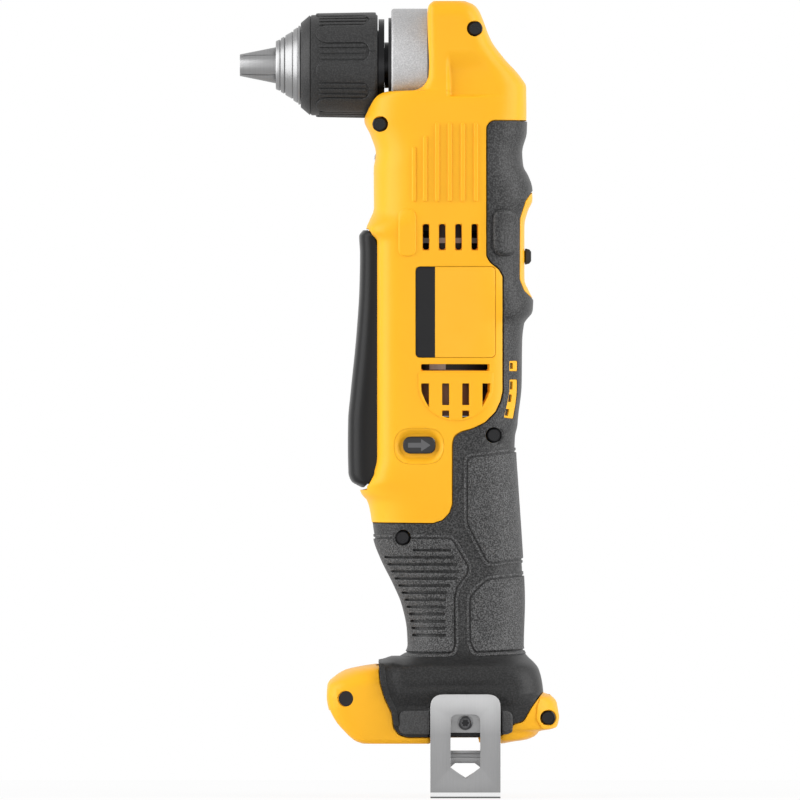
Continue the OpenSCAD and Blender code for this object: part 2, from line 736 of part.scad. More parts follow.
module hook_plate(z0, z1) {
    r = 5;
    union() {
        translate([-hook_w / 2, z0])
            square([hook_w, z1 - z0 - r]);
        translate([-hook_w / 2 + r, z0])
            square([hook_w - 2 * r, z1 - z0]);
        for (i = [-1, 1])
            translate([i * (hook_w / 2 - r), z1 - r])
                circle(r = r);
    }
}

module hook_screw() {
    y = -hook_y - seat - hook_t;
    color("#55565a")
    union() {
        bar_y(hook_x, hook_z, y - 1.4, y, 2.4);
        bar_y(hook_x, hook_z, y, -bay_w, 1.5);
    }
}

// Gear case: a drum round the spindle on a neck round the pinion, closed in front by the collar
nose_bearing = [-head_face - collar_len + 0.6, -10.5];
pinion_bearing_z = box_top + 1.6;

module gear_case() {
    color("#a9acb0")
    difference() {
        union() {
            bar_x(-head_face, 5.5, drum_r);
            bar_x(3.4, 11.5, 8);
            translate([0, 0, box_top])
                cylinder(r = 12.5, h = spindle_z - box_top);
            translate([0, 0, box_top])
                cylinder(r = box_r, h = 2.5);
        }
        bar_x(-60, -head_face, collar_r + seat);
        bar_x(-60, 3.4, drum_bore);
        bar_x(3, 5.6, 4.5);
        bar_x(5.5, 10.6, 6.5 + seat);
        translate([0, 0, box_top - 1])
            cylinder(r = 8 + seat, h = pinion_bearing_z + 5 + seat - box_top + 1);
        translate([0, 0, box_top])
            cylinder(r = 6.8, h = 10);
        translate([0, 0, box_top + 8])
            cylinder(r = 9.4, h = 22);
    }
}

module head_collar() {
    x0 = -head_face - collar_len;
    color("#b4b6b8")
    difference() {
        bar_x(x0, -head_face, collar_r);
        bar_x(x0 - 1, 0, 8.4);
        bar_x(x0 + 0.6, -10.4, 14 + seat);
        bar_x(-10.4, 0, drum_bore);
    }
}

module dust_seal() {
    x0 = -head_face - collar_len;
    color("#1f1f21")
    difference() {
        bar_x(x0 - seal_t, x0, 16.3);
        bar_x(x0 - 5, x0 + 5, 8.3);
    }
}

module front_bearing() {
    color(steel)
    difference() {
        bar_x(nose_bearing[0], nose_bearing[1], 14);
        bar_x(nose_bearing[0] - 1, nose_bearing[1] + 1, 6 + clear);
    }
}

module rear_bearing() {
    color(steel)
    difference() {
        bar_x(5.6, 10.5, 6.5);
        bar_x(5, 11, 3 + clear);
    }
}

module spindle() {
    color(steel)
    difference() {
        union() {
            bar_x(chuck_x - 13, chuck_x, 4.7);
            bar_x(chuck_x + 0.05, -head_face - collar_len + 0.3, 7.9);
            bar_x(chuck_x, -3, 6);
            bar_x(-3, 5, 4);
            bar_x(5, 10.2, 3);
        }
        bar_x(chuck_x - 14, chuck_x, 2.5);
    }
}

function inv(a) = tan(a) * 180 / PI - a;
function tooth(teeth, pitch_r, r, play) =
    90 / teeth + inv(20) - inv(acos(min(1, pitch_r * cos(20) / r))) - play / pitch_r * 180 / PI;
function flank(lo, hi) = [for (k = [0:3]) lo + (hi - lo) * k / 3];

// Outline of a spur gear, one tooth on the X axis
function gear_line(teeth, m, lo, hi, play) =
    let (p = teeth * m / 2, f = flank(p + lo * m, p + hi * m))
    [for (i = [0:teeth - 1]) each concat(
        [for (k = [0:3]) let (a = i * 360 / teeth - tooth(teeth, p, f[k], play)) f[k] * [cos(a), sin(a)]],
        [for (k = [3:-1:0]) let (a = i * 360 / teeth + tooth(teeth, p, f[k], play)) f[k] * [cos(a), sin(a)]])];

module spur(teeth, bore, h) {
    difference() {
        linear_extrude(height = h)
            polygon(gear_line(teeth, planet_module, -1.15, 0.85, flank_play));
        if (bore > 0)
            translate([0, 0, -1])
                cylinder(r = bore, h = h + 2);
    }
}

// Bevel gear with its apex at the origin, opening along +Z, one tooth over the X axis
module bevel(teeth, cone, lo, hi) {
    p = cone_len * tan(cone);
    f = flank(p + lo * bevel_module, p + hi * bevel_module);
    count = teeth / cos(cone);
    half_tooth = [for (r = f) let (t = cone + (r - p) / cone_len * 180 / PI)
        [t, tooth(count, p, r, flank_play) * r / (cone_len * sin(t))]];
    line = [for (i = [0:teeth - 1]) each concat(
        [for (k = [0:3]) [half_tooth[k][0], i * 360 / teeth - half_tooth[k][1]]],
        [for (k = [3:-1:0]) [half_tooth[k][0], i * 360 / teeth + half_tooth[k][1]]])];
    n = len(line);
    far = [for (q = line) cone_len * [sin(q[0]) * cos(q[1]), sin(q[0]) * sin(q[1]), cos(q[0])]];
    near = far * (1 - cone_face / cone_len);
    hub = cone_len * cos(half_tooth[0][0]);
    polyhedron(
        points = concat(near, far, [[0, 0, near[0][2]], [0, 0, hub]]),
        faces = concat(
            [for (j = [0:n - 1]) [j, n + j, n + (j + 1) % n]],
            [for (j = [0:n - 1]) [j, n + (j + 1) % n, (j + 1) % n]],
            [for (j = [0:n - 1]) [2 * n, j, (j + 1) % n]],
            [for (j = [0:n - 1]) [2 * n + 1, n + (j + 1) % n, n + j]]));
}

module bevel_gear() {
    color("#8f9296")
    translate([0, 0, spindle_z])
        rotate([0, -90, 0])
            difference() {
                union() {
                    rotate([0, 0, 180 / gear_teeth])
                        bevel(gear_teeth, gear_cone, -1.15, 0.85);
                    translate([0, 0, 7.7])
                        cylinder(r = 12.6, h = 2.5);
                }
                translate([0, 0, -5])
                    cylinder(r = 6 + seat, h = 30);
            }
}

module bevel_pinion() {
    back = cone_len * cos(90 - gear_cone) - 1.2;
    color("#8f9296")
    union() {
        translate([0, 0, spindle_z])
            rotate([180, 0, 0])
                bevel(pinion_teeth, 90 - gear_cone, -1.15, 0.85);
        translate([0, 0, pinion_bearing_z + 5 + clear])
            cylinder(r = 5.2, h = spindle_z - back - pinion_bearing_z - 5 - clear - 1.6);
        translate([0, 0, arm2_z + arm_t])
            cylinder(r = 4, h = spindle_z - back - arm2_z - arm_t);
    }
}

module pinion_bearing() {
    color(steel)
    tube(8, 4 + clear, pinion_bearing_z, pinion_bearing_z + 5);
}

module gearbox_case() {
    color("#3a3b3e")
    difference() {
        tube(box_r, box_r - 1.5, box_bottom, box_top);
        translate([box_r - 4, -1.6 - clear, stage2_z + 1])
            cube([8, 3.2 + 2 * clear, selector_travel + 4]);
    }
}

module ring_body(z, h) {
    spin = (planet1_teeth / 2 - 0.5) * 360 / ring_teeth;
    translate([0, 0, z])
        difference() {
            cylinder(r = box_r - 1.5 - 2 * seat, h = h);
            rotate([0, 0, spin])
                translate([0, 0, -1])
                    linear_extrude(height = h + 2)
                        polygon(gear_line(ring_teeth, planet_module, -0.85, 1.2, -flank_play));
        }
}

module fixed_ring_gear() {
    color("#8f9296")
    ring_body(box_bottom + 0.4, stage1_len + 0.4);
}

module sliding_ring_gear() {
    spin = (planet2_teeth / 2 - planet1_teeth / 2) * 360 / ring_teeth;
    r = box_r - 1.5 - 2 * seat;
    color("#8f9296")
    difference() {
        rotate([0, 0, spin])
            ring_body(stage2_z + 0.2, stage2_len - 0.6);
        tube(r + 1, r - 0.7, groove_z, groove_z + 1.5);
    }
}

// Place of planet i of a stage, turned so that its teeth meet the sun's and the ring's
module planet(i, sun_teeth, planet_teeth, z, h) {
    reach = (sun_teeth + planet_teeth) * planet_module / 2;
    turn = 120 * i + 180 - 360 / planet_teeth * (0.5 - sun_teeth * i / 3);
    color("#9b9ea2")
    rotate([0, 0, 120 * i])
        translate([reach, 0, z])
            rotate([0, 0, turn - 120 * i])
                spur(planet_teeth, planet_pin + clear, h);
}

module planet_1a() {
    planet(0, sun1_teeth, planet1_teeth, stage1_z, stage1_len);
}

module planet_1b() {
    planet(1, sun1_teeth, planet1_teeth, stage1_z, stage1_len);
}

module planet_1c() {
    planet(2, sun1_teeth, planet1_teeth, stage1_z, stage1_len);
}

module planet_2a() {
    planet(0, sun2_teeth, planet2_teeth, stage2_z, stage2_len);
}

module planet_2b() {
    planet(1, sun2_teeth, planet2_teeth, stage2_z, stage2_len);
}

module planet_2c() {
    planet(2, sun2_teeth, planet2_teeth, stage2_z, stage2_len);
}

module carrier(sun_teeth, planet_teeth, z, h) {
    reach = (sun_teeth + planet_teeth) * planet_module / 2;
    translate([0, 0, z])
        cylinder(r = reach + 2.6, h = arm_t);
    for (i = [0:2])
        rotate([0, 0, 120 * i])
            translate([reach, 0, z - h])
                cylinder(r = planet_pin, h = h + 1);
}

module stage1_carrier() {
    color("#85888c")
    union() {
        carrier(sun1_teeth, planet1_teeth, arm1_z, stage1_len);
        translate([0, 0, arm1_z + arm_t - 0.5])
            spur(sun2_teeth, 0, stage2_len + 0.7);
    }
}

module stage2_carrier() {
    color("#85888c")
    carrier(sun2_teeth, planet2_teeth, arm2_z, stage2_len);
}

module motor_plate() {
    color(steel)
    tube(box_r, 6.2, can_top, box_bottom);
}

module motor_can() {
    color("#9a9c9f")
    difference() {
        union() {
            tube(can_r, can_r - 1.4, can_bottom, can_top);
            tube(can_r, 4 + seat, can_top - 1.4, can_top);
        }
        for (i = [0:2])
            rotate([0, 0, 60 * i])
                translate([-40, -4.5, fan_z + 0.4])
                    cube([80, 9, 6.4]);
    }
}

module motor_magnets() {
    r = can_r - 1.4 - seat;
    color("#4c4d50")
    for (i = [0, 1])
        rotate([0, 0, 180 * i])
            intersection() {
                tube(r, core_r + 0.8, can_bottom + 6, fan_z - 1.5);
                translate([-14, 2, can_bottom])
                    cube([28, 30, can_len]);
            }
}

module armature_core() {
    color("#7d7f83")
    difference() {
        tube(core_r, shaft_r + 0.02, can_bottom + 9, fan_z - 5);
        for (i = [0:9])
            rotate([0, 0, 36 * i])
                translate([core_r - 4, -0.9, can_bottom])
                    cube([8, 1.8, can_len]);
    }
}

module armature_windings() {
    color("#a5561f")
    union() {
        tube(12.6, 5, can_bottom + 3, can_bottom + 9);
        tube(12.6, 5, fan_z - 5, fan_z - 1);
    }
}

module motor_shaft() {
    color(steel)
    translate([0, 0, brush_bottom + 1])
        cylinder(r = shaft_r, h = stage1_z + stage1_len - brush_bottom - 1);
}

module commutator() {
    color("#b87333")
    difference() {
        tube(6, shaft_r + 0.02, brush_bottom + 4.4, can_bottom + 1);
        for (i = [0:9])
            rotate([0, 0, 36 * i + 18])
                translate([5.4, -0.25, brush_bottom])
                    cube([3, 0.5, 30]);
    }
}

module cooling_fan() {
    color("#2c2c2e")
    union() {
        tube(15.4, shaft_r + 0.02, fan_z - 0.2, fan_z + 0.8);
        tube(4.5, shaft_r + 0.02, fan_z, fan_z + 6.4);
        for (i = [0:8])
            rotate([0, 0, 40 * i])
                translate([4, -0.5, fan_z + 0.4])
                    cube([11, 1, 5.6]);
    }
}

module motor_pinion() {
    color("#9b9ea2")
    translate([0, 0, stage1_z])
        spur(sun1_teeth, shaft_r + 0.02, stage1_len - 0.2);
}

module brush_holder() {
    color("#6b4a2b")
    difference() {
        union() {
            tube(can_r - 0.2, can_r - 1.8, brush_bottom, can_bottom);
            tube(can_r - 0.2, 4 + seat, brush_bottom, brush_bottom + 2);
            for (i = [0, 1])
                rotate([0, 0, 180 * i])
                    translate([-3.6, 7, brush_bottom + 1])
                        cube([7.2, 10.5, 11.4]);
        }
        for (i = [0, 1])
            rotate([0, 0, 180 * i])
                translate([-2.2 - seat, 5, brush_bottom + 6 - seat])
                    cube([4.4 + 2 * seat, 8.5, 5.4 + 2 * seat]);
        for (i = [0, 1])
            rotate([0, 0, 90 * i + 45])
                translate([-40, -4, brush_bottom + 4])
                    cube([80, 8, 9]);
    }
}

module carbon_brushes() {
    color("#2b2b2b")
    for (i = [0, 1])
        rotate([0, 0, 180 * i])
            translate([-2.2, 6 + clear, brush_bottom + 6])
                cube([4.4, 7, 5.4]);
}

module motor_bushes() {
    color("#b08d57")
    union() {
        tube(4, shaft_r + clear, brush_bottom, brush_bottom + 3.6);
        tube(4, shaft_r + clear, can_top - 1.6, box_bottom);
    }
}

module trigger_switch() {
    color("#3a3b3e")
    difference() {
        translate([-14, -10.5, switch_bottom])
            cube([22, 21, switch_top - switch_bottom]);
        translate([-15, -3 - clear, plunger_z - 3 - clear])
            cube([9 + plunger_travel, 6 + 2 * clear, 6 + 2 * clear]);
    }
}

module switch_plunger() {
    tip = pin_x - 2.4 + clear;
    color("#b5302a")
    translate([tip, -3, plunger_z - 3])
        cube([-6.6 - tip, 6, 6]);
}

function lead_ring(a, b, sag, t) =
    [for (i = [0:7]) a + (b - a) * t + [sag * sin(180 * t) + 1.3 * cos(45 * i), 1.3 * sin(45 * i), 0]];

module lead(a, b, sag) {
    loft([for (i = [0:8]) lead_ring(a, b, sag, i / 8)]);
}

module leads() {
    color("#a8241f")
    for (i = [-1, 1]) {
        lead([-1, 5 * i, deck_z + seat + 2.4], [2, 5 * i, switch_bottom], 5);
        lead([4, 7 * i, switch_top], [3, 11 * i, brush_bottom], 1);
    }
}

module chuck_body() {
    color("#5a5c60")
    at_chuck()
        difference() {
            union() {
                cylinder(r = 15.9, h = ring_len);
                cylinder(r = 12, h = 26);
                cylinder(r = 10.4, h = nose_s + 2.2);
            }
            translate([0, 0, -1])
                cylinder(r = 4.7 + seat, h = 14.2);
            cylinder(r = 2.7, h = 20);
            translate([0, 0, 15])
                cylinder(r = 5.2, h = 40);
            for (i = [0:2])
                rotate([0, 0, 120 * i - 90])
                    jaw_rod(jaw_r + 0.15, 0);
        }
}

// Rod of one jaw, leaning in to the tip, run back behind its own end by more
module jaw_rod(r, cut) {
    back = cut > 0 ? cut : 44;
    translate([tip_r - jaw_r / cos(jaw_tilt), 0, tip_s])
        rotate([0, -jaw_tilt, 0])
            translate([0, 0, -back])
                cylinder(r = r, h = back + 4);
}

// The first jaw faces the left side of the tool
module jaw(i) {
    slit = clear / 2 / sin(60);
    color("#84868a")
    at_chuck()
        rotate([0, 0, 120 * i - 90])
            difference() {
                intersection() {
                    jaw_rod(jaw_r, jaw_len);
                    linear_extrude(height = tip_s)
                        polygon([[slit, 0], [20, 20 * tan(60) - slit * tan(60)], [20, -20 * tan(60) + slit * tan(60)]]);
                }
                cylinder(r = bit_r, h = 80);
            }
}

module jaw_1() {
    jaw(0);
}

module jaw_2() {
    jaw(1);
}

module jaw_3() {
    jaw(2);
}

module chuck_nose() {
    color("#a6a8ab")
    at_chuck()
        difference() {
            union() {
                translate([0, 0, nose_s])
                    cylinder(r = 13.6, h = 0.8);
                translate([0, 0, nose_s + 0.8])
                    cylinder(r1 = 13.2, r2 = 12, h = 1.8);
                translate([0, 0, nose_s + 2.6])
                    cylinder(r1 = 11.6, r2 = 10.2, h = 2.6);
                translate([0, 0, nose_s + 5.2])
                    cylinder(r1 = 9.9, r2 = 9.2, h = 1.7);
                translate([0, 0, nose_s + 6.9])
                    cylinder(r1 = 8.9, r2 = 8.3, h = nose_len - 6.9);
            }
            translate([0, 0, nose_s - 1])
                cylinder(r = 10.4 + seat, h = 3.2 + seat);
            translate([0, 0, nose_s + 2])
                cylinder(r1 = tip_r + (tip_s - nose_s - 2) * tan(jaw_tilt) + clear,
                    r2 = tip_r + (tip_s - face_s - 1) * tan(jaw_tilt) + clear, h = nose_len - 1);
        }
}

module chuck_sleeve() {
    end = sleeve_s + sleeve_len;
    color("#2d2d2f")
    at_chuck()
        difference() {
            rotate_extrude()
                polygon([
                    [14.7, sleeve_s], [chuck_r - 0.6, sleeve_s], [chuck_r, sleeve_s + 0.7], [chuck_r, sleeve_s + 9],
                    [chuck_r - 0.8, end - 6], [chuck_r - 1.3, end - 3.7], [chuck_r - 1.7, end - 3.6],
                    [chuck_r - 1.7, end - 3.3], [chuck_r - 1.5, end - 3.2], [chuck_r - 3.7, end], [11.4, end],
                    [11.4, end - 2.2], [14.7, end - 2.2]]);
            for (i = [0:7], j = [-1.5:1:1.5])
                rotate([0, 0, 45 * i + 14.5 + 5 * j])
                    translate([chuck_r - 0.5, -0.3, sleeve_s + 5])
                        cube([4, 0.6, sleeve_len - 8.2]);
        }
}

module chuck_nut() {
    color("#8f9296")
    at_chuck()
        tube(14.7 - seat, 12 + clear, 19.3, 24.8);
}

module chuck_screw() {
    color("#45474a")
    at_chuck()
        union() {
            translate([0, 0, 15])
                cylinder(r = 4, h = 2.4);
            translate([0, 0, 4])
                cylinder(r = 2.4, h = 11);
        }
}

housing_left();
housing_right();
grip_left();
grip_right();
label_plates();
housing_screws();
trigger_paddle();
pivot_pin();
reversing_button();
speed_selector();
shift_link();
led_lamp();
terminal_block();
contact_blades();
hook_inserts();
belt_hook();
hook_screw();
gear_case();
head_collar();
dust_seal();
front_bearing();
rear_bearing();
spindle();
bevel_gear();
bevel_pinion();
pinion_bearing();
gearbox_case();
fixed_ring_gear();
sliding_ring_gear();
planet_1a();
planet_1b();
planet_1c();
planet_2a();
planet_2b();
planet_2c();
stage1_carrier();
stage2_carrier();
motor_plate();
motor_can();
motor_magnets();
armature_core();
armature_windings();
motor_shaft();
commutator();
cooling_fan();
motor_pinion();
brush_holder();
carbon_brushes();
motor_bushes();
trigger_switch();
switch_plunger();
leads();
chuck_body();
jaw_1();
jaw_2();
jaw_3();
chuck_nose();
chuck_sleeve();
chuck_nut();
chuck_screw();
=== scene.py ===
import json
from math import acos, ceil, cos, dist, pi, radians, sin, sqrt, tan

import bmesh
import bpy
import numpy as np
from bpy import ops
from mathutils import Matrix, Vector, kdtree


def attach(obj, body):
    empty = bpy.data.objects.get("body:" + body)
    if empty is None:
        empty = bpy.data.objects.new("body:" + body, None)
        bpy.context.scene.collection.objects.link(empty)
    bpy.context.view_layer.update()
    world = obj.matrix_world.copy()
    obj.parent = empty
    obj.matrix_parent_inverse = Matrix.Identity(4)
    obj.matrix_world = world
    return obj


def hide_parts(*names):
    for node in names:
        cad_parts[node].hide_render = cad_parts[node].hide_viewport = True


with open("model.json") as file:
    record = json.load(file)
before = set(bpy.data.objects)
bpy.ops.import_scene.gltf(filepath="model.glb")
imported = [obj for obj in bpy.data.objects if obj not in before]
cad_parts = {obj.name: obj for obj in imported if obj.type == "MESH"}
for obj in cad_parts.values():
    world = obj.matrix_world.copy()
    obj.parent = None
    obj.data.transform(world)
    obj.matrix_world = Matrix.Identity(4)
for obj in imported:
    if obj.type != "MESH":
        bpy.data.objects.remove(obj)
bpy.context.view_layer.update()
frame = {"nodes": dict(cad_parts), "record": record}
nodes = frame["nodes"]

# Everything is modelled in millimetres and made metres when a piece is done.
# Many outlines are given in pixels of the photograph, where x = z = 0 lies at (MID_X, MID_Y).
PIXEL, MID_X, MID_Y = 0.345, 447, 590
# Heights of the foot's underside, the top and the spindle axis, and X of the chuck's rear face.
FOOT, TOP, SPINDLE, CHUCK = -52.4, 202.8, 181.0, -21.6
WELD, DISC_SIDES = 0.0005, 28


# ---- work bench

def alone(o):
    if bpy.context.object and bpy.context.object.mode != "OBJECT":
        ops.object.mode_set(mode="OBJECT")
    ops.object.select_all(action="DESELECT")
    bpy.context.view_layer.objects.active = o
    o.select_set(True)
    return o


def edit(o):
    alone(o)
    ops.object.mode_set(mode="EDIT")
    ops.mesh.select_all(action="SELECT")


def leave():
    ops.object.mode_set(mode="OBJECT")


def outward():
    """Turns all faces of the piece being edited outwards and leaves it."""
    ops.mesh.select_all(action="SELECT")
    ops.mesh.normals_make_consistent(inside=False)
    leave()


def fresh(name, add, **how):
    """A new object from one of Blender's primitives."""
    ops.object.select_all(action="DESELECT")
    add(**how)
    bpy.context.object.name = name
    return bpy.context.object


def coords(o):
    a = np.empty(len(o.data.vertices) * 3)
    o.data.vertices.foreach_get("co", a)
    return a.reshape(-1, 3)


def place(o, a):
    o.data.vertices.foreach_set("co", np.ascontiguousarray(a, float).ravel())
    o.data.update()
    return o


def merge(o):
    edit(o)
    ops.mesh.remove_doubles(threshold=WELD)
    outward()
    return o


def modify(o, kind, **settings):
    alone(o)
    m = o.modifiers.new(kind.lower(), kind)
    for key, value in settings.items():
        setattr(m, key, value)
    ops.object.modifier_apply(modifier=m.name)
    return o


def join(o, *others):
    alone(o)
    for p in others:
        p.select_set(True)
    if others:
        ops.object.join()
    return o


def cut(o, *tools, operation="DIFFERENCE", solver="EXACT"):
    tool = join(*tools)
    modify(o, "BOOLEAN", object=tool, operation=operation, solver=solver)
    bpy.data.objects.remove(tool)
    return o


def twin(o, name, turn=None):
    """A copy with its own mesh, moved by turn, a function of its points."""
    alone(o)
    ops.object.duplicate(linked=False)
    p = bpy.context.object
    p.name = name
    if turn:
        place(p, turn(coords(p)))
    return p


def mirrored(o):
    """The piece moved over to the right side."""
    place(o, coords(o) * (1, -1, 1))
    edit(o)
    ops.mesh.flip_normals()
    leave()
    return o


def paired(o):
    """A left piece joined with its mirror image."""
    return join(o, mirrored(twin(o, "right")))


def smooth(o, angle):
    alone(o)
    ops.object.shade_smooth_by_angle(angle=radians(angle))
    return o


def chamfer(o, width, segments=2, angle=40):
    return modify(o, "BEVEL", width=width, segments=segments, limit_method="ANGLE",
                  angle_limit=radians(angle), use_clamp_overlap=True)


def cad_copy(name, piece, dissolve=1.0):
    """A CAD node's mesh as a piece of its own in millimetres, its loose triangles merged into faces."""
    ops.object.select_all(action="DESELECT")
    o = bpy.data.objects.new(piece, nodes[name].data.copy())
    bpy.context.scene.collection.objects.link(o)
    o.data.materials.clear()
    place(o, coords(o) * 1000)
    edit(o)
    ops.mesh.remove_doubles(threshold=0.002)
    if dissolve:
        ops.mesh.dissolve_limited(angle_limit=radians(dissolve))
    leave()
    return o


def done(o, material, body, slot, *replaced, angle=35):
    """The finished piece in metres, with its finish and the body that it rides on."""
    place(o, coords(o) * 0.001)
    smooth(o, angle)
    o.data.materials.clear()
    o.data.materials.append(material)
    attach(o, body)
    if replaced:
        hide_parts(*replaced)
    return o


# ---- moulded form

# The body by height: X of its front and back outline, half its width, how square its section is behind
# and ahead of its middle (the power of a superellipse), and X of that middle in the head.
FRONT = [
    (-52.4, -29.4), (-51.6, -31.6), (-50.4, -33.3), (-48.4, -35.4), (-44.9, -38.5), (-40.4, -40.8),
    (-36.6, -41.4), (-32.4, -41.2), (-29.7, -38.6), (-27.6, -35.2),
    (-26.2, -29.3), (-25, -21.7), (-23.6, -18.5), (-21.7, -14.6), (-19.3, -13.3), (-14, -13.5), (-5, -15.3),
    (2.4, -18.4), (10.4, -22.4), (17.3, -25), (27.6, -26.6), (31, -27.6), (33, -29.4), (34.8, -30), (40, -25.6),
    (46, -24.2), (120, -24.2), (124.6, -27.8), (127.5, -26.7), (131.6, -25.2), (145, -25.3), (150.4, -24.5),
    (156.7, -26.3), (162.2, -28.6), (165, -28), (169.5, -26.6), (171.2, -24.4), (171.8, -20.4), (172.1, -12.3),
    (173.2, -9.2), (174.9, -7.5), (177.2, -6.8), (198.8, -6.8), (201.3, -6.4), (202.8, -4.8)]
BACK = [
    (-52.4, 20), (-51.9, 22.6), (-51.1, 27.7), (-49.7, 30.7), (-48.3, 31.8), (-47.5, 36.4), (-46.6, 37.9),
    (-43.4, 38.6), (-40.9, 38.1), (-37.9, 37.3), (-36.2, 35.4), (-35.2, 33), (-32.1, 32.6), (-27.3, 31.4),
    (-22.8, 27.9), (-19.3, 26.2), (-3.5, 26.6), (10.4, 26), (38, 24.2),
    (48.3, 23.6), (58.7, 24.2), (70.7, 25.5), (86, 25.7), (92, 26.4), (96.3, 29.3), (100, 29.5), (103, 28.3),
    (107, 26.7), (125.5, 26.7), (131, 28), (134.5, 29.5), (139, 29.1), (143, 27.7), (146, 26.1), (151, 25.7),
    (158, 27.3), (164, 27.4), (173.3, 27.3), (177, 25.2), (183.2, 19.7), (189.4, 15.2), (197, 12.2), (199.3, 11.2),
    (201.6, 9.4), (202.8, 6.6)]
SIDE = [
    (-52.4, 30.2), (-50.9, 31), (-32.4, 31), (-26.4, 28.6), (-23.4, 23.6), (-19.4, 19.8), (-13.4, 18.6), (2, 18.6),
    (14, 20), (32, 23.1), (50, 24.5), (150, 24.5), (167, 23.6), (177, 22.2), (181, 22), (197.8, 22), (200.6, 21),
    (202, 19.6), (202.8, 18)]
ROUND = [(-52.4, 6), (-28.4, 5), (-19.4, 2.7), (10, 2.6), (40, 2.9), (60, 3.1), (152, 3.1), (171, 4), (202.8, 4)]
NOSE = [
    (-52.4, 14), (-36.4, 12), (-27.4, 5), (-19.4, 2.7), (10, 2.6), (34, 2.9), (42, 6.5), (121, 6.5), (130, 3.3),
    (152, 3.1), (171, 4), (175, 9), (202.8, 9)]
MIDDLE = [(150, 0.6), (160, 0.5), (170, 1.6), (178, 3.4), (184, 4.2), (190, 4), (197, 2.7), (202.8, 0.9)]


def along(line, z):
    """A smooth curve through the points that never swings past them."""
    x, y = np.array(line, float).T
    h = np.diff(x)
    d = np.diff(y) / h
    lean = np.concatenate([d[:1], np.zeros(len(d) - 1), d[-1:]])
    a, b = d[:-1], d[1:]
    same = a * b > 0
    lean[1:-1][same] = (2 * a * b)[same] / (a + b)[same]
    z = np.clip(z, x[0], x[-1])
    i = np.clip(np.searchsorted(x, z) - 1, 0, len(h) - 1)
    t = (z - x[i]) / h[i]
    q = 1 - t
    return (q * q * (1 + 2 * t) * y[i] + t * t * (3 - 2 * t) * y[i + 1]
            + h[i] * t * q * (q * lean[i] - t * lean[i + 1]))


# The left half is laid out flat: u runs from the front seam, 0, round the side to the back seam, 80,
# v follows the outline up from the foot, and w stands off the surface. Beyond V_TOP the top closes.
SPAN, CAP, STEP = 80.0, 18.0, 0.02
fine = np.arange(FOOT, TOP + STEP / 2, STEP)
reach = [along(line, fine) for line in (FRONT, BACK, SIDE)]
slope = np.clip(np.max([abs(np.gradient(r, fine)) for r in reach], 0), 0, 25)
length = np.concatenate([[0], np.cumsum(STEP * np.hypot(1, slope))[:-1]])
V_TOP = length[-1]
v_table = np.linspace(0, V_TOP, int(V_TOP / 0.5) + 1)
z_table = np.interp(v_table, length, fine)
u_table = np.linspace(0, SPAN, 161)


def lay_skin():
    """Points of the left half and their normals on a grid of v and u."""
    turn = np.linspace(pi, 0, 721)
    front, back, side = (along(line, z_table)[:, None] for line in (FRONT, BACK, SIDE))
    power = np.where(np.cos(turn) < 0, along(NOSE, z_table)[:, None], along(ROUND, z_table)[:, None])
    mid = np.where(z_table[:, None] > 150, along(MIDDLE, z_table)[:, None], (front + back) / 2)
    half = np.where(np.cos(turn) < 0, mid - front, back - mid)
    r = (abs(np.cos(turn) / half) ** power + abs(np.sin(turn) / side) ** power) ** (-1 / power)
    x, y = mid + r * np.cos(turn), -r * np.sin(turn)
    skin_x, skin_y = [], []
    for a, b in zip(x, y):
        run = np.concatenate([[0], np.cumsum(np.hypot(np.diff(a), np.diff(b)))])
        run *= SPAN / run[-1]
        skin_x.append(np.interp(u_table, run, a))
        skin_y.append(np.interp(u_table, run, b))
    points = np.stack([skin_x, skin_y, np.repeat(z_table[:, None], len(u_table), 1)], -1)
    normal = np.cross(np.gradient(points, axis=1), np.gradient(points, axis=0))
    normal[:, [0, -1], 1] = 0
    normal /= np.linalg.norm(normal, axis=-1, keepdims=True)
    outward = points - np.stack([mid[:, 0], 0 * mid[:, 0], z_table], -1)[:, None]
    if (normal * outward).sum() < 0:
        normal = -normal
    return points, normal


skin_points, skin_normal = lay_skin()


def skin(u, v, w=0.0):
    """The place in space of flat points."""
    a = np.clip(u, 0, SPAN) / SPAN * (len(u_table) - 1)
    b = np.clip(v, 0, V_TOP) / V_TOP * (len(v_table) - 1)
    i, j = np.minimum(a.astype(int), len(u_table) - 2), np.minimum(b.astype(int), len(v_table) - 2)
    p, q = (a - i)[:, None], (b - j)[:, None]

    def blend(t):
        low, high = (t[k, i] * (1 - p) + t[k, i + 1] * p for k in (j, j + 1))
        return low * (1 - q) + high * q

    over = np.clip((v - V_TOP) / CAP, 0, 1)
    point, normal = blend(skin_points), blend(skin_normal)
    point[:, 1] *= 1 - over
    point[:, 2] += np.minimum(v, 0)
    normal[over > 0] = (0, 0, 1)
    normal /= np.linalg.norm(normal, axis=1, keepdims=True)
    return point + normal * np.reshape(w, (-1, 1))


def row(z):
    """The flat height of z and the ring of the form there."""
    v = float(np.interp(z, fine, length))
    b = v / V_TOP * (len(v_table) - 1)
    j = min(int(b), len(v_table) - 2)
    return v, skin_points[j] * (1 - b + j) + skin_points[j + 1] * (b - j)


def flat(points):
    """Flat places of points given in X and Z on the left side."""
    out = []
    for x, z in points:
        v, ring = row(z)
        out.append((float(np.interp(x, ring[:, 0], u_table)), v))
    return out


def from_seam(y, z, back=False):
    """Flat place of the point of height z that lies y beside the front or the back seam."""
    v, ring = row(z)
    k = len(u_table) // 2
    if back:
        return float(np.interp(y, -ring[:k:-1, 1], u_table[:k:-1])), v
    return float(np.interp(y, -ring[:k, 1], u_table[:k])), v


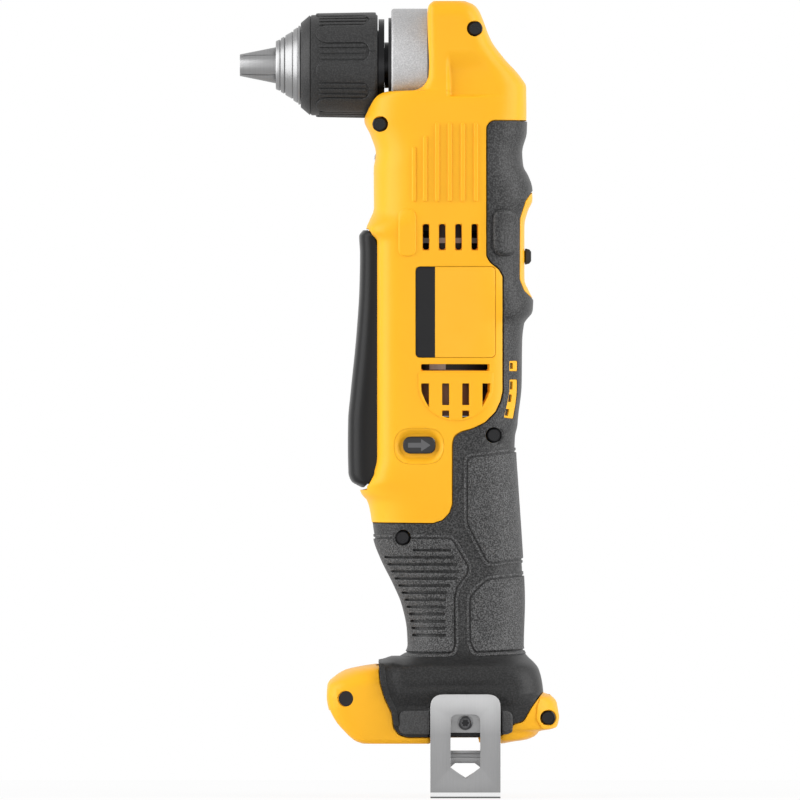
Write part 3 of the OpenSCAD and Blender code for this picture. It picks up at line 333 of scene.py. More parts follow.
def rounded(points, r=0.0):
    """A closed outline with its corners rounded; a third number at a point is its own radius."""
    out = []
    for i, p in enumerate(points):
        a, b, c = (np.array(points[(i + k) % len(points)][:2], float) for k in (-1, 0, 1))
        size = p[2] if len(p) > 2 else r
        a, c = a - b, c - b
        la, lc = np.hypot(*a), np.hypot(*c)
        corner = acos(np.clip(np.dot(a, c) / (la * lc), -1, 1))
        if size <= 0 or corner > 3.1:
            out.append(tuple(b))
            continue
        run = min(size / tan(corner / 2), 0.49 * la, 0.49 * lc)
        for t in np.linspace(0, 1, 7):
            out.append(tuple(b + a / la * run * (1 - t) ** 2 + c / lc * run * t ** 2))
    return out


def dense(points, gap=1.2):
    """A closed outline with no two points further apart than gap."""
    out = []
    for a, b in zip(points, points[1:] + points[:1]):
        n = max(1, ceil(dist(a, b) / gap))
        out += [(a[0] + (b[0] - a[0]) * k / n, a[1] + (b[1] - a[1]) * k / n) for k in range(n)]
    return out


def mm(points):
    """X and Z of photograph pixels."""
    return [((x - MID_X) * PIXEL, (MID_Y - y) * PIXEL) for x, y in points]


def seen(points, r=0.0):
    """An outline of photograph pixels, with rounded corners, laid flat."""
    return flat(dense(mm(rounded(points, r))))


def pane(x0, y0, x1, y1, r):
    return seen([(x0, y0), (x1, y0), (x1, y1), (x0, y1)], r)


def disc(x, y, r):
    turns = [2 * pi * k / DISC_SIDES for k in range(DISC_SIDES)]
    return flat([((x - MID_X + r * cos(a)) * PIXEL, (MID_Y - y + r * sin(a)) * PIXEL) for a in turns])


def prism(name, points, low, high):
    """A closed flat outline raised from low to high."""
    points = [p for p, q in zip(points, points[1:] + points[:1]) if dist(p, q) > 1e-4]
    o = fresh(name, ops.mesh.primitive_circle_add, vertices=len(points), fill_type="NGON")
    place(o, np.column_stack([np.array(points), np.full(len(points), low)]))
    edit(o)
    ops.mesh.extrude_region_move(TRANSFORM_OT_translate={"value": (0, 0, high - low)})
    outward()
    return o


def soften(o, high, width, segments):
    """Rounds the upper edges of a flat plate."""
    edit(o)
    ops.mesh.select_all(action="DESELECT")
    ops.mesh.select_mode(type="EDGE")
    mesh = bmesh.from_edit_mesh(o.data)
    for e in mesh.edges:
        if min(e.verts[0].co.z, e.verts[1].co.z) > high - 1e-3:
            e.select_set(any(abs(f.normal.z) < 0.5 for f in e.link_faces))
    bmesh.update_edit_mesh(o.data)
    ops.mesh.bevel(offset=width, segments=segments, profile=0.5, affect="EDGES", clamp_overlap=True)
    leave()
    return o


def grid(o, gap_u, gap_v, extra=()):
    """Cuts a flat plate along lines so that it can be bent."""
    c = coords(o)
    edit(o)
    for axis, gap in ((0, gap_u), (1, gap_v)):
        lo, hi = c[:, axis].min(), c[:, axis].max()
        lines = set(np.round(np.arange(ceil(lo / gap) * gap, hi, gap), 4))
        for which, a, b, step in extra:
            if which == axis:
                lines |= set(np.round(np.arange(max(a, lo), min(b, hi), step), 4))
        normal = (1, 0, 0) if axis == 0 else (0, 1, 0)
        for line in sorted(lines):
            ops.mesh.select_all(action="SELECT")
            ops.mesh.bisect(plane_co=(line, 0, 0) if axis == 0 else (0, line, 0), plane_no=normal)
    leave()
    return o


def wrap(o, lift):
    """Bends a flat plate round the form; lift moves its points off the surface by place."""
    c = coords(o)
    w = c[:, 2]
    if lift:
        at = skin(c[:, 0], c[:, 1])
        w = w + lift(at[:, 0], at[:, 2], w)
    return place(o, skin(c[:, 0], c[:, 1], w))


def sheet(name, points, low, high, soft, holes=(), gap=1.3, segments=2, extra=(), tools=()):
    """A flat plate: outline and holes are cut, the edge is rounded, and lines are laid in for bending."""
    o = prism(name, points, low, high)
    for tool in tools:
        cut(o, tool)
    if holes:
        cut(o, *[prism("hole", h, low - 1, high + 1) for h in holes])
    if soft:
        soften(o, high, soft, segments)
    return grid(o, gap, gap, extra)


def plate(*what, lift=None, **how):
    """A flat plate bent round the form."""
    return wrap(sheet(*what, **how), lift)


def both(o, name, holes=(), lift=None):
    """A flat plate as a piece on each side; the holes are in the left one only."""
    right = twin(o, name)
    if holes:
        cut(o, *[prism("well", h, -5, 5) for h in holes])
    return wrap(o, lift), mirrored(wrap(right, lift))


def turned(name, profile, steps, centre=(0, 0, SPINDLE)):
    """A closed profile of (x, radius) spun round the spindle axis."""
    o = fresh(name, ops.mesh.primitive_circle_add, vertices=len(profile), fill_type="NOTHING")
    place(o, [(x, 0, centre[2] + r) for x, r in profile])
    edit(o)
    ops.mesh.spin(steps=steps, angle=2 * pi, center=centre, axis=(1, 0, 0), use_auto_merge=True)
    ops.mesh.select_all(action="SELECT")
    ops.mesh.remove_doubles(threshold=WELD)
    ops.mesh.dissolve_degenerate(threshold=WELD)
    ops.mesh.normals_make_consistent(inside=False)
    leave()
    return o


def box(name, low, high):
    o = fresh(name, ops.mesh.primitive_cube_add, size=1)
    return place(o, (coords(o) + 0.5) * (np.array(high) - low) + low)


def rod(name, radius, low, high, axis=1, sides=32):
    """A round bar along X or Y between two points."""
    o = fresh(name, ops.mesh.primitive_cylinder_add, vertices=sides, radius=radius, depth=1)
    c = coords(o)
    c[:, 2] += 0.5
    c = c[:, (1, 2, 0) if axis else (2, 0, 1)]
    c[:, axis] *= high[axis] - low[axis]
    return place(o, c + low)


# ---- finishes

class Wire:
    """A socket of a finish. Sums, products and comparisons of wires add Math nodes."""

    def __init__(self, finish, socket):
        self.finish, self.socket = finish, socket

    def maths(self, operation, other, swapped=False):
        pair = (other, self) if swapped else (self, other)
        return self.finish.node("Math", dict(enumerate(pair)), {"operation": operation})

    def __add__(self, other):
        return self.maths("ADD", other)

    def __mul__(self, other):
        return self.maths("MULTIPLY", other)

    def __rsub__(self, other):
        return self.maths("SUBTRACT", other, True)

    def __gt__(self, other):
        return self.maths("GREATER_THAN", other)

    __radd__, __rmul__ = __add__, __mul__


class Finish:
    """A material built up from nodes; fixed holds settings of its shader, with _ for a space."""

    def __init__(self, name, **fixed):
        self.material = bpy.data.materials.new(name)
        self.material.use_nodes = True
        self.tree = self.material.node_tree
        self.shader = next(n for n in self.tree.nodes if n.type == "BSDF_PRINCIPLED")
        self.at = self.node("TexCoord", output="Object")
        for socket, value in fixed.items():
            self.shader.inputs[socket.replace("_", " ")].default_value = value

    def node(self, kind, inputs=None, settings=None, output=0):
        n = self.tree.nodes.new("ShaderNode" + kind)
        for key, value in (settings or {}).items():
            if key == "stops":
                for stop, (spot, tone) in zip(n.color_ramp.elements, value):
                    stop.position, stop.color = spot, (tone, tone, tone, 1)
            else:
                setattr(n, key, value)
        for key, value in (inputs or {}).items():
            if isinstance(value, Wire):
                self.tree.links.new(value.socket, n.inputs[key])
            else:
                n.inputs[key].default_value = value
        return Wire(self, n.outputs[output])

    def feed(self, tone, gloss, relief=()):
        """Wires up colour, roughness and relief, which is a height, its strength and its depth."""
        wires = {"Base Color": tone, "Roughness": gloss}
        if relief:
            wires["Normal"] = self.node("Bump", dict(zip(("Height", "Strength", "Distance"), relief)))
        for socket, wire in wires.items():
            self.tree.links.new(wire.socket, self.shader.inputs[socket])
        return self.material

    def noise(self, scale, detail, rough=0.5, at=None):
        return self.node("TexNoise", {
            "Vector": at or self.at, "Scale": scale, "Detail": detail, "Roughness": rough})

    def stretched(self, scale):
        return self.node("Mapping", {"Vector": self.at, "Scale": scale})

    def spread(self, wire, low, high):
        """The range from low to high spread over 0 to 1."""
        return self.node("ValToRGB", {"Fac": wire}, {"stops": [(low, 0), (high, 1)]})

    def mix(self, amount, a, b):
        pair = {k: c if isinstance(c, Wire) else (*c, 1) for k, c in ((6, a), (7, b))}
        return self.node("Mix", {0: amount, **pair}, {"data_type": "RGBA"}, 2)

    def axes(self):
        n = self.node("SeparateXYZ", {"Vector": self.at}).socket.node
        return [Wire(self, s) for s in n.outputs]


def shade(colour, k):
    return tuple(min(1, c * k) for c in colour)


def plain(name, colour, rough, metal=0.0, grain=900, depth=0.00004, spread=0.12, **fixed):
    """A moulded, cast or machined surface: cloudy tone, uneven gloss and a fine grain."""
    f = Finish(name, Metallic=metal, **fixed)
    cloud = f.noise(70, 3, 0.6)
    fine_grain = f.noise(grain, 3, 0.55)
    tone = f.mix(cloud, shade(colour, 1 - spread), shade(colour, 1 + spread))
    return f.feed(tone, rough - 0.07 + 0.08 * cloud + 0.06 * fine_grain, (fine_grain, 0.35, depth))


def yellow_shell():
    f = Finish("yellow_shell", Specular_IOR_Level=0.24, Coat_Roughness=0.3, Coat_Weight=0.04)
    cloud = f.noise(38, 3, 0.55)
    grain = f.noise(2600, 2, 0.6)
    dust = f.spread(f.noise(420, 4, 0.65), 0.62, 0.8)
    tone = f.mix(cloud, (0.93, 0.44, 0.01), (0.97, 0.485, 0.016))
    tone = f.mix(dust * 0.05, tone, (0.98, 0.6, 0.12))
    return f.feed(tone, 0.36 + 0.08 * cloud + 0.08 * grain, (grain, 0.22, 0.00002))


def black_rubber(name, dark, light, rough, scale, smooth_foot, specular, depth=0.0001):
    """Stippled rubber; the stipple can fade towards the foot."""
    f = Finish(name, Specular_IOR_Level=specular)
    mottle = f.noise(scale, 3, 0.6)
    patch = f.noise(45, 3, 0.6)
    speck = f.spread(mottle, 0.43, 0.62)
    if smooth_foot:
        height = f.axes()[2]
        speck = speck * (1 - smooth_foot * f.spread((-0.012 - height) * 80, 0, 1))
    tone = f.mix(speck, (dark, dark, dark * 1.02), (light, light, light * 1.01))
    tone = f.mix(patch * 0.25, tone, (dark * 1.6, dark * 1.6, dark * 1.62))
    return f.feed(tone, rough + 0.16 * mottle + 0.1 * patch, (mottle, 0.6, depth))


def cast_metal():
    f = Finish("cast_metal", Metallic=0.72)
    sand = f.noise(2700, 3, 0.75)
    grit = f.spread(sand, 0.4, 0.68)
    cloud = f.noise(60, 2)
    tone = f.mix(grit, (0.33, 0.33, 0.335), (0.58, 0.575, 0.58))
    tone = f.mix(cloud * 0.3, tone, (0.5, 0.5, 0.505))
    return f.feed(tone, 0.42 + 0.2 * sand, (sand, 0.6, 0.00018))


def brushed_steel():
    """Brushed along the hook: painted lighter up its outer leg, with a painted highlight on the bend and a painted
    shadow along the rim at its foot.
    """
    f = Finish("brushed_steel", Metallic=1.0)
    lines = f.noise(260, 4, 0.7, f.stretched((14, 14, 0.35)))
    cloud = f.noise(40, 3)
    rub = f.spread(f.noise(900, 4, 0.7), 0.6, 0.75)
    height = f.axes()[2]
    tone = f.mix(lines, (0.23, 0.23, 0.232), (0.3, 0.3, 0.303))
    # The upper part is painted lighter, above a height of -49 mm, up the outer leg.
    upper_lighter = f.spread((height + 0.049) * 80, 0, 1)
    tone = f.mix(upper_lighter, tone, f.mix(lines, (0.4, 0.4, 0.403), (0.48, 0.48, 0.483)))
    # Painted highlight: the bend is painted near white in place of its reflection of the white room.
    bend = f.spread((-0.0686 - height) * 2500, 0, 1)
    tone = f.mix(bend, tone, (0.86, 0.86, 0.863))
    # Painted shadow: a near-black rim along the hook's lowest edge.
    foot_shadow = f.spread((-0.0701 - height) * 4000, 0, 1)
    tone = f.mix(foot_shadow, tone, (0.09, 0.09, 0.09))
    tone = f.mix(rub * 0.25, tone, (0.24, 0.24, 0.243))
    return f.feed(tone, 0.34 + 0.14 * lines + 0.06 * cloud, (lines, 0.2, 0.00003))


def turned_steel(name, dull, bright):
    """Fine tool marks round the spindle axis."""
    f = Finish(name, Metallic=1.0)
    x, y, z = f.axes()
    lines = f.noise(1.0, 3, 0.7, f.node("CombineXYZ", {0: x * 2600, 1: y * 8, 2: z * 8}))
    cloud = f.noise(80, 2)
    tone = f.mix(lines, (dull, dull, dull * 1.01), (bright, bright, bright * 1.01))
    return f.feed(tone, 0.32 + 0.12 * lines + 0.05 * cloud, (lines, 0.25, 0.00004))


def label_film():
    """A bare label: black ahead of a line down it, yellow behind."""
    f = Finish("label_film", Specular_IOR_Level=0.12)
    strip = (-0.00414 - f.axes()[0]) > 0.0
    cloud = f.noise(60, 3)
    fleck = f.noise(1800, 2)
    yellow = f.mix(cloud, (0.93, 0.45, 0.02), (0.96, 0.5, 0.04))
    black = f.mix(cloud, (0.010, 0.010, 0.011), (0.018, 0.018, 0.019))
    return f.feed(f.mix(strip, yellow, black), 0.24 + 0.08 * cloud + 0.04 * fleck, (fleck, 0.1, 0.00001))


def clear_lens():
    f = Finish("clear_lens", Transmission_Weight=0.85, IOR=1.49)
    cloud = f.noise(300, 2)
    return f.feed(f.mix(cloud, (0.86, 0.9, 0.93), (0.95, 0.97, 0.98)), 0.05 + 0.08 * cloud)


def paint(node, material):
    for surface in nodes[node].material_slots:
        surface.material = material


YELLOW = yellow_shell()
RUBBER = black_rubber("black_rubber", 0.008, 0.078, 0.34, 1900, 0.7, 0.3)
CAST = cast_metal()
STEEL = brushed_steel()
TURNED = turned_steel("turned_steel", 0.2, 0.37)
FILM = label_film()
GRAIN = black_rubber("grained_rubber", 0.01, 0.145, 0.46, 2300, 0, 0.36)
JAW = turned_steel("jaw_steel", 0.21, 0.35)
DARK = plain("dark_moulding", (0.02, 0.02, 0.021), 0.38, grain=2200, depth=0.00003, Specular_IOR_Level=0.3)
PAD = black_rubber("pad_rubber", 0.03, 0.07, 0.4, 2000, 0, 0.4, 0.00005)
SLEEVE = black_rubber("sleeve_moulding", 0.016, 0.042, 0.36, 2000, 0.0, 0.32, 0.00004)
PADDLE = plain("paddle_moulding", (0.0105, 0.0105, 0.011), 0.34, grain=2000, depth=0.00003, Specular_IOR_Level=0.16)
BLACKED = plain("blackened_steel", (0.015, 0.015, 0.016), 0.3, 0.7, 1400, spread=0.25, Specular_IOR_Level=0.35)
ZINC = plain("dark_zinc", (0.08, 0.08, 0.083), 0.34, 1.0, 1400, spread=0.25)
GEAR = plain("gear_steel", (0.42, 0.42, 0.44), 0.3, 1.0, 1200, 0.00002)
ARROW = plain("arrow_print", (0.09, 0.09, 0.094), 0.5, grain=1800)
finish_of = {
    "steel": plain("bright_steel", (0.62, 0.62, 0.64), 0.27, 1.0, 1500, 0.00002),
    "gear_steel": GEAR, "black_steel": BLACKED, "dark_plastic": DARK, "rubber": RUBBER, "cast": CAST, "shell": YELLOW,
    "label": FILM, "lens": clear_lens(),
    "brass": plain("brass", (0.75, 0.5, 0.2), 0.3, 1.0, 1300, 0.00002),
    "copper": plain("copper", (0.72, 0.33, 0.15), 0.32, 1.0, 1100, 0.00004),
    "bronze": plain("bronze", (0.55, 0.36, 0.16), 0.42, 1.0, 1800),
    "magnet": plain("ferrite", (0.06, 0.06, 0.065), 0.55, 0.2, 1600),
    "phenolic": plain("phenolic_board", (0.36, 0.2, 0.12), 0.5, 0.0, 700),
    "carbon": plain("pressed_carbon", (0.018, 0.018, 0.02), 0.6, 0.0, 1800),
    "plunger_red": plain("red_moulding", (0.45, 0.03, 0.025), 0.4, 0.0, 1500),
    "lead": plain("lead_cover", (0.4, 0.025, 0.02), 0.45, 0.0, 1200)}
for part in frame["record"]["subparts"]:
    paint(part["node"], finish_of[part["material_slot"]])


# ---- yellow housing

SCREWS = [(474.5, 30), (380.3, 125), (493.4, 435), (403, 537.2), (547, 716.4), (345.6, 697)]
screw_wells = [disc(x, y, 7.97) for x, y in SCREWS]
GATE = [
    (34.6, -28.4), (35, -28.2), (37.1, -26.5), (40.2, -25), (46, -24.7), (50, -24.6), (114, -24.6), (120.8, -24.7),
    (124.5, -27)]
vents = [pane(422.4 + 16.25 * k, 224.8, 429.3 + 16.25 * k, 251, 1.3) for k in range(4)]
grille_slots = [
    seen([(421, 383.5), (429, 383.5), (429, 407.5), (425, 400.5), (421.5, 392)]),
    seen([(482, 383.5), (489.6, 383.5), (489.4, 391.5), (486, 399.5), (482, 406.5)]),
    seen([(442, 410.5), (449, 410.5), (449, 418.3), (442, 416)]),
    seen([(462, 410.5), (469, 410.5), (469, 416), (462, 418.3)]),
    pane(442, 383.5, 449, 405, 0.6), pane(462, 383.5, 469, 405, 0.6)]
back_vents = [pane(509.6, 363, 512.4, 369, 0.5)] + [
    seen(spot, 0.4) for spot in (
        [(509.8, 381.5), (512.2, 381.5), (512, 389.5), (509.4, 389.5)],
        [(508.5, 394.5), (511.4, 394.5), (510.6, 402), (507.6, 402)],
        [(505.4, 409), (508.9, 409), (507.5, 416), (504.4, 415.4)])]
LUG = [
    (539, 697, 3), (549, 695.5, 3), (555, 701, 3), (557.5, 715, 4), (555.5, 725.5, 3), (541, 727, 4), (535.5, 718, 5),
    (536, 705, 6)]
slot_pane = pane(420.9, 364.3, 489.3, 371.1, 0.8)
stadium = pane(394, 428, 444, 464, 17.9)

# Edge of the rubber in X and Z, and the yellow places within it: the scoop at the back and, in pixels,
# the window and the strip round the small back vents.
RUBBER_LINE = [
    (90, 161.4), (15.4, 161.4), (13.8, 159.6), (13.8, 115), (15, 113), (18, 110.6), (19.4, 108), (19.4, 68.6),
    (18.6, 65), (16.8, 61.2), (13.2, 57.6), (9, 55.6), (4.8, 54.4), (2.6, 53), (2, 50.4), (2, 29.6), (1, 26.6),
    (-1.4, 24), (-4.8, 22.9), (-90, 23.6), (-90, -24.2), (-22.4, -24.2), (-23.2, -27.4), (-22.8, -31.8), (-21.2, -37),
    (-18.8, -42), (-18.2, -47), (-16.4, -49.2), (-13.6, -50.1), (17, -50.1), (19.4, -48.8), (22.8, -45.5),
    (26, -44.6), (28.6, -40), (32.4, -34.7), (90, -34.7)]
SCOOP = [(90, 138.4), (29.7, 138.4), (26.7, 134), (24.8, 128), (24.7, 107), (26.3, 103), (29.9, 99.6), (90, 99.6)]
VENT_WINDOW = [(508.5, 360.8), (516.6, 360.8), (516.6, 371.4), (508.5, 371.4)]
VENT_STRIP = [
    (508.8, 379.4), (516.5, 379.4), (516.3, 393), (515, 404.5), (512.4, 418.8), (503, 417.6), (506.4, 403),
    (508.6, 391)]
# The hook's seat: X of its front and back edge, and its upper edge. X, Y and Z of its screw's outer face.
SEAT_FRONT, SEAT_BACK, SEAT_TOP = -6.1, 18.5, FOOT + 13
HOOK_SCREW = (6.2, -33.5, -45.2)
# How far the works' side of the housing stays under its outer face.
SHELL = 2.2


def beyond(points):
    """Points on a seam moved past it, for a hole that opens there."""
    return [(u + 2 if u > SPAN - 0.01 else u - 2 if u < 0.01 else u, v) for u, v in points]


def grown(points, d):
    """A closed outline moved outwards by d."""
    a = np.array(points, float)
    ahead, behind = np.roll(a, -1, 0), np.roll(a, 1, 0)
    way = ahead - behind
    side = np.column_stack([way[:, 1], -way[:, 0]]) / np.maximum(np.hypot(*way.T), 1e-6)[:, None]
    area = (a[:, 0] * ahead[:, 1] - ahead[:, 0] * a[:, 1]).sum()
    return [tuple(p) for p in a + side * (d if area > 0 else -d)]


def rubber_zone(room=0.0):
    """Outline of the rubber, moved out by room, and of the yellow places within it, moved in."""
    def laid(points, r, d):
        return flat(grown(dense(rounded(points, r)), d))

    spared = (SCOOP, 2), (mm(VENT_WINDOW), 0.5), (mm(VENT_STRIP), 0.45)
    return laid(RUBBER_LINE, 2.5, room), [laid(points, r, -room) for points, r in spared]


def pixels(x, z):
    return x / PIXEL + MID_X, MID_Y - z / PIXEL


def summed(*lifts):
    """Several lifts as one."""
    return lambda x, z, w: sum(lift(x, z, w) for lift in lifts)


def ease(t):
    t = np.clip(t, 0, 1)
    return t * t * (3 - 2 * t)


def head_pocket(x, z, w):
    """The sunk field beside the spindle, deepest in its lower front corner."""
    px, py = pixels(x, z)
    wall = ease((px - 446 + 0.03 * (97 - py)) / 5.5) * ease((py - 50) / 24)
    ledge = ease((98.5 - py) / 3.2)
    tail = ease((506 - px) / 46)
    return -2.0 * wall * ledge * tail


def gate_points():
    """The edge beside the paddle: its room is 29.8 wide, and its ends are lipped."""
    out = []
    for z in np.concatenate([np.linspace(34.6, 48, 13), np.linspace(49, 110, 50), np.linspace(111, 124.5, 12)]):
        (u, v), = flat([(np.interp(z, *np.array(GATE).T), z)])
        out.append((max(u, from_seam(14.9, z)[0]), v))
    return out


def housing_line():
    """Edge of the flat sheet: bay, front seam, paddle gate, lamp hole, top, back seam with the selector's slot."""
    bay_top, lamp_z, lamp_r, slot_low, slot_high, slot_half = -41, 149, 2.6, 112.7, 122.3, 2.5
    bay = [from_seam(26.5, z) for z in np.linspace(FOOT, bay_top, 9)]
    bay[0] = (bay[0][0], -0.02)
    gate = [(0, row(34.5)[0])] + gate_points() + [(0, row(124.6)[0])]
    lamp = [from_seam(lamp_r * sin(a), lamp_z - lamp_r * cos(a)) for a in np.linspace(0, pi, 9)]
    slot = [from_seam(y, z, True) if y else (SPAN, row(z)[0])
            for y, z in ((0, slot_high), (slot_half, slot_high), (slot_half, slot_low), (0, slot_low))]
    return (bay + [(0, row(bay_top)[0])] + gate + lamp
            + [(0, V_TOP + CAP), (SPAN, V_TOP + CAP)] + slot + [(SPAN, -0.02)])


def hook_seat(depth):
    """Sinks the place where the belt hook is screwed on."""
    def lift(x, z, w):
        return np.where((x > SEAT_FRONT) & (x < SEAT_BACK) & (z < SEAT_TOP), -depth, 0)
    return lift


def seat_lines():
    """Bending lines close to the edges of the hook's seat."""
    (a, v), (b, _) = flat([(SEAT_FRONT, SEAT_TOP), (SEAT_BACK, SEAT_TOP)])
    return [(axis, edge - 0.1, edge + 0.2, 0.2) for axis, edge in ((0, a), (0, b), (1, v))]


def inner_frame(node, side):
    """The works' side of the housing: the CAD half with its outer face drawn in under the sheet."""
    o = cad_copy(node, "inner_frame", 0)
    top = np.array([(x, -y, TOP) for x in np.linspace(-4, 6, 20) for y in np.linspace(0, 17, 20)])
    places = np.vstack([skin_points[:, ::2].reshape(-1, 3), top])
    normals = np.vstack([skin_normal[:, ::2].reshape(-1, 3), np.tile((0.0, 0, 1), (len(top), 1))])
    tree = kdtree.KDTree(len(places))
    for i, p in enumerate(places):
        tree.insert(p, i)
    tree.balance()
    c = coords(o) * (1, -side, 1)
    for k, p in enumerate(c):
        i = tree.find(p)[1]
        depth = np.dot(places[i] - p, normals[i])
        if depth < SHELL:
            c[k] -= normals[i] * (SHELL - depth)
    return place(o, c * (1, -side, 1))


def dish(x, z, w):
    """The hollow round the reversing button."""
    px, py = pixels(x, z)
    inside = 18 - np.hypot(np.maximum(abs(px - 419) - 7, 0), py - 446)
    return np.where(w > -1, -1.8 * ease(inside / 6.5), 0)


def make_housing():
    notch = flat(dense([(1, FOOT), (1, FOOT + 2.1), (11.4, FOOT + 2.1), (11.4, FOOT)], 2))
    holes = vents + grille_slots + back_vents + [
        slot_pane, stadium, pane(415.4, 267, 495.4, 358, 5), disc(465, 721, 8.7),
        [(u, v if v > 1 else -1) for u, v in notch]]
    fine_u = [u for u, v in pane(440, 40, 506, 100, 0)]
    fine_v = [row((MID_Y - y) * PIXEL)[0] for y in (104, 45)]
    lines = [(0, min(fine_u), max(fine_u), 0.65), (1, *fine_v, 0.65)] + seat_lines()
    line, spared = rubber_zone(0.4)
    zone = cut(prism("zone", beyond(line), -4, 4), *[prism("spared", beyond(beyond(h)), -5, 5) for h in spared])
    left = sheet("moulded_shell_left", housing_line(), -2.4, 0, 0.14, holes, extra=lines, tools=[zone])
    halves = both(left, "moulded_shell_right", screw_wells, summed(head_pocket, hook_seat(0.65)))
    for o in halves:
        cut(o, rod("bore", 19.8, (-60, 0, SPINDLE), (-6.2, 0, SPINDLE), 0, 128), solver="MANIFOLD")
    ribs = zip((414, 425, 437, 449.6, 462.5, 475.5), (148, 137, 124, 124, 124, 124))
    bow = [(455.75 + 37.25 * cos(t), 384 + 36.5 * sin(t)) for t in np.linspace(0, pi, 40)]
    lip = seen([(418.5, 373, 1), (493, 373, 1)] + bow)
    raised = [plate("rib", pane(x - 2.1, y, x + 2.1, 202.5, 2), -0.4, 0.55, 0.45, segments=4) for x, y in ribs]
    raised += [plate("pill", pane(398.5, 210, 416, 257, 8), -0.4, 0.55, 0.5, segments=4),
               plate("lug", seen(LUG), -0.4, 0.45, 0.35, screw_wells[4:5], segments=3),
               plate("grille_lip", lip, -0.4, 0.3, 0.26, grille_slots)]
    for rim, gaps in zip(rubber_zone(0.05)[1][1:], (back_vents[:1], back_vents[1:])):
        raised.append(plate("vent_rim", rim, -2.2, 0.1, 0.08, gaps, gap=0.8))
    raised.append(plate("button_dish", pane(394.2, 428.2, 443.8, 463.8, 17.7), -3.4, -0.05, 0.05,
                        [pane(402.8, 436.4, 435.6, 453.6, 8.5)], lift=dish, gap=0.6))
    raised = join(*raised)
    others = mirrored(twin(raised, "raised"))
    for node, side, o, more in zip(("housing_left", "housing_right"), (-1, 1), halves, (raised, others)):
        join(o, more, inner_frame(node, side))
        done(o, YELLOW, "frame", "shell", node, angle=32)


# ---- rubber

def grip_dip(x, z, w):
    """The grip's ground lies lower than its panels."""
    ground = -0.55 * ease((z + 25) / 4) * ease((57 - z) / 4)
    return ground - 0.45 * ease((3 - x) / 2) * ease((z + 20) / 2) * ease((16.5 - z) / 2)


FOOT_STEPS = [
    (-52.4, -0.2), (-42.5, -0.3), (-40, -1.5), (-35.4, -0.2), (-34, 0.1), (-32.6, -1.2), (-28, -0.1), (-25, 0)]


def foot_steps(x, z, w):
    """Two soft ledges across the rubber of the foot."""
    return along(FOOT_STEPS, z) * ease((x + 19) / 4) * ease((25 - x) / 6)


def shoulder(x, z, w):
    """The thick front edge of the rubber where the grip runs into the foot."""
    return 1.1 * ease((-15.5 - x) / 4) * ease((z + 38) / 9) * ease((-19 - z) / 3)


def make_rubber():
    line, spared = rubber_zone()
    base = sheet("rubber_grip_left", line, -2.0, 0.25, 0.7, [beyond(spared[0])], segments=4, extra=seat_lines())
    cut(base, *[prism("vent_edge", h, -5, 5) for h in spared[1:]])
    wells = screw_wells[2:4]
    halves = both(base, "rubber_grip_right", wells, summed(grip_dip, hook_seat(0.9), shoulder, foot_steps))
    grooves = []
    for k, end in enumerate((451, 454, 457.5, 459, 457, 450.5, 447, 446, 445.5, 445, 445, 445.5, 446)):
        y = 549.5 + 7.1 * k
        start = 413 if k == 0 else 451.5 + float(along(FRONT, (MID_Y - y) * PIXEL)) / PIXEL
        grooves.append(beyond(seen([(start, y - 1.2), (end, y - 1.5), (end, y + 1.5), (start, y + 1.2)], 1)))
    panels = {
        "finger": [(300, 538.5), (451, 538.5, 7), (467, 566, 5), (466, 573, 6), (456, 586, 8), (453.5, 598, 8),
                   (454, 643), (452, 651, 6), (300, 651)],
        "palm": [(600, 452), (517, 452), (468, 458, 5), (468, 523, 14), (488, 562, 7), (523, 558), (600, 558)],
        "heel": [(600, 575.5), (522, 576), (487, 580, 14), (470.5, 596, 14), (471, 640), (475, 650.5, 5),
                 (523, 648.5), (600, 648.5)]}
    raised = []
    for name, points in panels.items():
        well, cuts = (wells, grooves) if name == "finger" else ((), ())
        outer, inner = (seen(grown(dense(rounded(points), 3), d)) for d in (4.4, 1.7))
        field = sheet(name, seen(points), -1, 0.32, 0.3, cuts, segments=3)
        raised.append(both(field, name + "_right", well))
        bead = sheet("bead", outer, -1, 0.08, 0.24, [beyond(inner)], segments=3)
        raised.append(both(bead, "bead_right", well))
    edge = [(379.6, 668), (380.4, 680), (384.5, 695), (391.5, 710), (394, 724)]
    edge = seen(edge + [(x + 5.6, y) for x, y in edge[::-1]], 1.5)
    hook = pane(429.5, 690, 501.5, 752, 1)
    pads = [sheet("spine_pad", pane(492, 209, 515, 257, 11.3), -0.3, 2.2, 2.1, segments=7),
            sheet("foot_bead", edge, -0.3, 1.4, 1.2, segments=5),
            sheet("foot_pad", pane(398.5, 709, 512, 732.5, 8), -0.8, 1.1, 0.8, [hook], segments=4)]
    pads = [both(o, "pad_right", lift=shoulder) for o in pads]
    for spot, (x, z) in zip(SCREWS[2:4], mm(SCREWS[2:4])):
        side = side_at(*spot)
        join(halves[0], cut(*[rod("screw_well", r, (x, a - side, z), (x, b - side, z))
                              for r, a, b in ((3.6, 1.4, 4), (2.74, 1, 5))]))
    for k, side in enumerate(("left", "right")):
        join(halves[k], *[pair[k] for pair in pads[:2]])
        foot = pads[2][k]
        foot.name = "foot_pad_" + side
        done(foot, PAD, "frame", "rubber", angle=32)
        done(halves[k], RUBBER, "frame", "rubber", "grip_" + side, angle=32)
        panel = join(*[pair[k] for pair in raised])
        panel.name = "grip_panels_" + side
        done(panel, GRAIN, "frame", "rubber", angle=32)


def make_label():
    left = plate("label_sheet", pane(415.8, 267.4, 495, 357.6, 4.8), -1.2, -0.1, 0.08)
    done(paired(left), FILM, "frame", "label", "label_plates")


# ---- chuck and collar

def at_chuck(profile):
    """A profile of (distance ahead of the chuck's rear face, radius) put on the spindle axis."""
    return [(CHUCK - s, r) for s, r in profile]


SLEEVE_R, PADS = 17.4, 8


